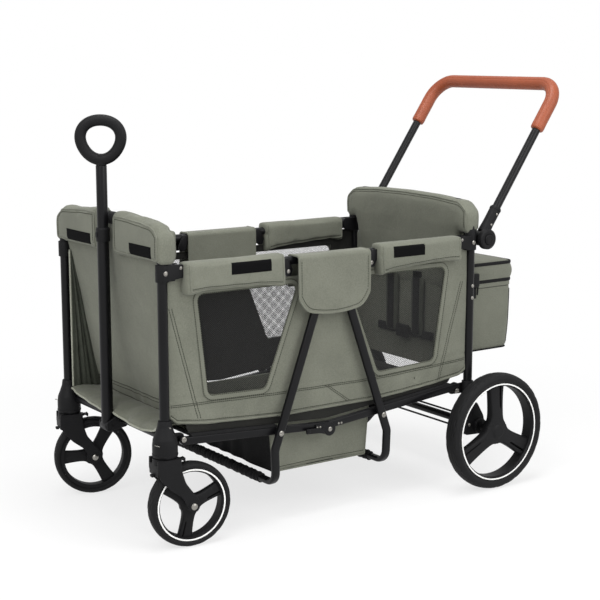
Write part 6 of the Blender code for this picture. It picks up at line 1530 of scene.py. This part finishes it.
for side, sign in SIDES.items():
    cloth = piece(f"{side}_flap_canvas", on_side([flap], sign), SAGE, "middle_top",
                  [f"{side}_middle_flap"], sharp=70)
    piece(f"{side}_flap_binding", on_side(bound_edge, sign), SAGE, "middle_top")
    a = np.linspace(-0.0925, 0.0925, 70)
    lines = [np.stack([XM + a, np.full(70, sign * HALF), flap_tip(a / 0.94) + 0.0065], -1),
             np.stack([np.full(30, XM - 0.0925), np.full(30, sign * HALF), np.linspace(0.5330, 0.605, 30)], -1),
             np.stack([np.full(30, XM + 0.0925), np.full(30, sign * HALF), np.linspace(0.5330, 0.605, 30)], -1)]
    stitches(f"{side}_flap_stitches", [line - (0, sign * -0.029, 0) for line in lines], cloth, (0, -sign, 0),
             SEAM_SHADE_THREAD, "middle_top")

# Footwell: a cloth tub between the seat boards. Its sides are sage with a hem, its ends and
# base black, and gathered sleeves hold its base to the leg frames' cross bars.
TOP_H, BASE_H, WELL_Y, WELL_TOP, WELL_LOW = 0.1433, 0.1330, 0.2045, 0.2350, 0.1135
v = np.linspace(0, 1, 30)[:, None]
u = np.linspace(-1, 1, 70)[None]
z = WELL_LOW + (WELL_TOP - WELL_LOW) * v + 0 * u
x = u * (BASE_H + (TOP_H - BASE_H) * v)
sag = 0.0022 * np.sin(26 * x + 40 * z) * (1 - v) + ripple(x, z, 0.0020, 10)
y_side = -WELL_Y + 0.004 * (1 - v) * (1 - u ** 2) - sag * (1 - u ** 4) * 0.6
side_cloth = skin_pair(np.stack([XM + x, y_side, z], -1), np.stack([XM + x, y_side + 0.0022, z], -1))
y = u * (WELL_Y - 0.003)
sag = ripple(y, z, 0.0022, 11) + 0.0020 * (1 - v) * np.sin(70 * y + 3 * np.sin(19 * y))
end_x = BASE_H + (TOP_H - BASE_H) * v - 0.0010 - 0.004 * np.sin(v * math.pi) + sag * (1 - u ** 6)
ends = [skin_pair(np.stack([XM + s * end_x, y + 0 * v, z], -1),
                  np.stack([XM + s * (end_x - 0.0020), y + 0 * v, z], -1)) for s in (-1, 1)]
gx, gy = np.meshgrid(np.linspace(-BASE_H + 0.001, BASE_H - 0.001, 50),
                     np.linspace(-WELL_Y + 0.004, WELL_Y - 0.004, 60), indexing="ij")
gz = WELL_LOW + 0.0008 + 0 * gx
base = skin_pair(np.stack([XM + gx, gy, gz], -1),
                 np.stack([XM + gx, gy, gz + 0.0025 + np.abs(ripple(gx, gy, 0.0010, 12))], -1))
hems = [swept([(XM + s, -WELL_Y - 0.0002, WELL_LOW + 0.0015)
               for s in np.linspace(-BASE_H + 0.002, BASE_H - 0.002, 60)], disc(0.0021, 10)),
        swept([(XM + a * (TOP_H - 0.001), -WELL_Y, WELL_TOP - 0.0010) for a in np.linspace(-1, 1, 60)],
              disc(0.0021, 10))]
hems += [swept([(XM + s * (BASE_H - 0.001), -WELL_Y, WELL_LOW + 0.002),
                (XM + s * (TOP_H - 0.001), -WELL_Y, WELL_TOP - 0.002)], disc(0.0019, 10)) for s in (-1, 1)]
well = [piece("footwell_sides", both([side_cloth]), SAGE, "rear_legs", ["footwell"], sharp=70),
        piece("footwell_ends_and_base", [*ends, base], BLACK_CLOTH, "rear_legs", sharp=70),
        piece("footwell_piping", both(hems), SAGE, "rear_legs")]
well += [stitches(f"footwell_{side}_stitches",
                  [[(XM + a, sign * WELL_Y, WELL_LOW + 0.0100) for a in np.linspace(-0.128, 0.128, 60)]],
                  well[0], (0, -sign, 0), SEAM_SHADE_THREAD, "rear_legs") for side, sign in SIDES.items()]
for made in well:
    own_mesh(made)
s = np.linspace(-0.196, 0.196, 240)
t = np.linspace(0, 2 * math.pi, 30, endpoint=False)
puckers = 0.0010 * np.sin(s[:, None] * 260 + 2.5 * np.sin(s[:, None] * 41)
                          + 0.8 * np.sin(t[None])) + 0.0007 * np.sin(s[:, None] * 517 + t[None] * 2)
for end, sign in (("front", -1), ("rear", 1)):
    r = np.stack([0.0118 + puckers * 0.6, 0.0142 + puckers],
                 -1) * np.where(np.abs(s) > 0.1945, 0.9, 1.0)[:, None, None]
    bx = XM + sign * 0.157 + r[..., 0] * np.cos(t)[None]
    bz = 0.1030 + r[..., 1] * np.sin(t)[None] * 0.80
    sleeve = shell(np.stack([bx, np.broadcast_to(s[:, None], bx.shape), bz], -1), wrap_columns=True, caps="fan")
    piece(f"{end}_bar_sleeve", [sleeve], BLACK_CLOTH, f"{end}_legs", sharp=70)


# Seats: foam mats in dark cloth, quilted in channels across, on thin boards over the rails.
def seat_mat(end, sign):
    """Top: pad height * (0.60 + 0.40 |sin|^0.6) along the wagon, falling off at the edges."""
    s = np.linspace(0, 1, 90)
    x0, x1 = XM + sign * 0.1497, XM + sign * 0.356
    x = x0 + (x1 - x0) * s
    y = np.linspace(-0.2290, 0.2290, 110)
    xx, yy = np.meshgrid(x, y, indexing="ij")
    swell = 0.0140 * (0.60 + 0.40 * np.abs(np.sin(s * 4 * math.pi)) ** 0.6)[:, None]
    rim = np.minimum(np.minimum(s, 1 - s)[:, None] * 0.206, 0.229 - np.abs(y)[None])
    fall = quarter_round(rim, 0.007)
    low = rail_height(end, xx) + FLOOR_HALF + 0.0003 + 0.0060
    top = low + 0.0012 + (swell + ripple(xx, yy, 0.0012, 13)) * (0.12 + 0.88 * fall)
    return skin_pair(np.stack([xx, yy, top], -1), np.stack([xx, yy, low], -1))


for end, sign in (("front", -1), ("rear", 1)):
    x0, x1 = sorted((XM + sign * 0.1438, XM + sign * 0.368))
    rest = 0.0088
    corners = [(x0, rail_height(end, x0) + rest), (x1, rail_height(end, x1) + rest),
               (x1, rail_height(end, x1) + rest + 0.006),
               (x0, rail_height(end, x0) + rest + 0.006)]
    board = outline_slab(bends(corners, 0.0015, 3, closed=True), -0.2418, 0.2418, edge=0.0012)
    piece(f"{end}_seat_board", [board], BLACK_CLOTH, f"{end}_floor", [f"{end}_seat"])
    mat = piece(f"{end}_seat_mat", [seat_mat(end, sign)], LINING, f"{end}_floor", sharp=70)
    y = np.linspace(-0.2270, 0.2270, 60)
    edges = [swept(np.stack([np.full(60, x), y, np.full(60, rail_height(end, x) + rest + FLOOR_HALF)], -1),
                   disc(0.0022, 10), up=(1, 0, 0))
             for x in (XM + sign * 0.1500, XM + sign * 0.3555)]
    piece(f"{end}_seat_piping", edges, SAGE, f"{end}_floor")


# Storage bag: a canvas box on the rear wall, with a zipped lid that hinges at the wall. The
# lid's rim is a padded roll between two black zip lines; the rear corners have black piping.
def box_loop(x0, x1, half, radius, z, steps=7):
    """A horizontal rectangle with round corners, as 3-D points."""
    flat = resampled(bends([(x0, -half), (x1, -half), (x1, half), (x0, half)], radius, steps, closed=True), 160,
                     closed=True)
    return np.column_stack([flat, np.full(len(flat), z)])


BAG_X0, BAG_X1 = XR + 0.0066, XR + 0.1840
levels = [(0.030, 0.3152), (0.012, 0.3155), (0.004, 0.3185), (0.0, 0.3270)]
# Half widths of the bag and of its lid.
BAG_HALF, LID_HALF = 0.1895, 0.1905
body_loops = [box_loop(BAG_X0 + a, BAG_X1 - 0.007 - a, BAG_HALF - a, 0.018, z) for a, z in levels]
for z in np.linspace(0.335, 0.474, 40):
    out = 0.0030 * math.sin((z - 0.327) / 0.150 * math.pi)
    loop = box_loop(BAG_X0, BAG_X1 - 0.007 + 0.007 * (z - 0.327) / 0.15, BAG_HALF, 0.018, z)
    swell = out + ripple(loop[:, 0] + loop[:, 1], loop[:, 2], 0.0014, 14)
    loop[:, 0] += np.where(loop[:, 0] > BAG_X1 - 0.02, swell, 0)
    loop[:, 1] += np.where(np.abs(loop[:, 1]) > 0.185, np.sign(loop[:, 1]) * np.abs(swell) * 0.3, 0)
    body_loops.append(loop)
body_loops += [box_loop(BAG_X0, BAG_X1, BAG_HALF, 0.018, 0.4775),
               box_loop(BAG_X0 + 0.003, BAG_X1 - 0.003, 0.1865, 0.016, 0.4780),
               box_loop(BAG_X0 + 0.0045, BAG_X1 - 0.0045, 0.1850, 0.015, 0.4765)]
body_loops += [box_loop(BAG_X0 + 0.0045, BAG_X1 - 0.0045, 0.1850, 0.015, z)
               for z in np.linspace(0.470, 0.3250, 12)]
body_loops += [box_loop(BAG_X0 + 0.012, BAG_X1 - 0.018, 0.1780, 0.012, 0.3205),
               box_loop(BAG_X0 + 0.05, BAG_X1 - 0.06, 0.140, 0.010, 0.3200)]
bag = piece("bag_body", [shell(np.array(body_loops), wrap_columns=True, caps="fan")], SAGE, "rear_frame",
            ["storage_bag"], sharp=75)
cords = [laid_cord([(BAG_X1 - 0.0050 - 0.0065 * (1 - a), side * 0.1890, 0.322 + 0.150 * a)
                    for a in np.linspace(0, 1, 40)], bag, (0, -side, 0), 0.0020)
         for side in (-1, 1)]
cords.append(
    swept(box_loop(BAG_X0 + 0.0015, BAG_X1 - 0.0085, 0.1880, 0.018, 0.3195), disc(0.0019, 10), closed=True))
piece("bag_piping", cords, BLACK_CLOTH, "rear_frame")
LID_X0, LID_X1 = XR + 0.0105, XR + 0.1895
lid_loops = [box_loop(LID_X0 + 0.050, LID_X1 - 0.060, 0.140, 0.012, 0.5250),
             box_loop(LID_X0 + 0.010, LID_X1 - 0.012, 0.1835, 0.014, 0.5245),
             box_loop(LID_X0 + 0.0065, LID_X1 - 0.0085, 0.1865, 0.014, 0.5180),
             box_loop(LID_X0 + 0.0060, LID_X1 - 0.0080, 0.1870, 0.014, 0.4810),
             box_loop(LID_X0 + 0.0040, LID_X1 - 0.0050, 0.1890, 0.016, 0.4790)]
for z in np.linspace(0.4800, 0.5380, 26):
    a = (z - 0.480) / 0.058
    roll = 0.0046 * math.sin(min(max((z - 0.496) / 0.040, 0), 1) * math.pi)
    loop = box_loop(LID_X0, LID_X1 - 0.0035 + roll, LID_HALF + roll * 0.7, 0.019, z)
    loop[:, 0] += np.where(loop[:, 0] > LID_X1 - 0.02, ripple(loop[:, 1], loop[:, 2] * 0.5, 0.0010, 15), 0)
    lid_loops.append(loop)
for inset_by, z in ((0.003, 0.5415), (0.008, 0.5440), (0.020, 0.5455), (0.045, 0.5470), (0.070, 0.5475)):
    lid_loops.append(box_loop(LID_X0 + inset_by, LID_X1 - 0.0035 - inset_by, LID_HALF - inset_by, 0.018, z))
lid = piece("bag_lid_canvas", [shell(np.array(lid_loops), wrap_columns=True, caps="fan")], SAGE, "bag_lid",
            ["bag_lid"], sharp=75)
flat_tape = np.stack([0.0018 * np.cos(turning[::2]), 0.0044 * np.sin(turning[::2])], -1)
zips = [swept(box_loop(LID_X0 - 0.0003, LID_X1 - 0.0033, 0.1908, 0.019, z), flat_tape, closed=True)
        for z in (0.4945, 0.5385)]
piece("bag_zips", zips, BLACK_CLOTH, "bag_lid")
puller = [rounded_box((XR + 0.060, -0.1945, 0.4885), (XR + 0.070, -0.1915, 0.4975), 0.0012),
          swept([(XR + 0.065, -0.1948, 0.4930), (XR + 0.063, -0.1955, 0.4800), (XR + 0.062, -0.1953, 0.4640)],
                disc(0.0022, 12), up=(1, 0, 0))]
piece("bag_zip_puller", puller, NYLON, "bag_lid")
strap = [rounded_box((XR + 0.0085, -0.1975, 0.4925), (XR + 0.0450, -0.1952, 0.5125), 0.0008, 2),
         rounded_box((XR + 0.0420, -0.1985, 0.4560), (XR + 0.0560, -0.1962, 0.4960), 0.0008, 2)]
piece("bag_side_strap", strap, BLACK_CLOTH, "rear_frame")
clip = [rounded_box((XR + 0.0370, -0.2060, 0.4850), (XR + 0.0600, -0.1970, 0.5200), 0.0028),
        rounded_box((XR + 0.0400, -0.2080, 0.4930), (XR + 0.0570, -0.2050, 0.5110), 0.0012)]
piece("bag_side_clip", clip, NYLON, "rear_frame")


# The screws and rivets of each body are one piece: zinc-plated heads with a cross recess.
for body, heads in bolts.items():
    piece(f"{body}_screws", heads, ZINC, body)
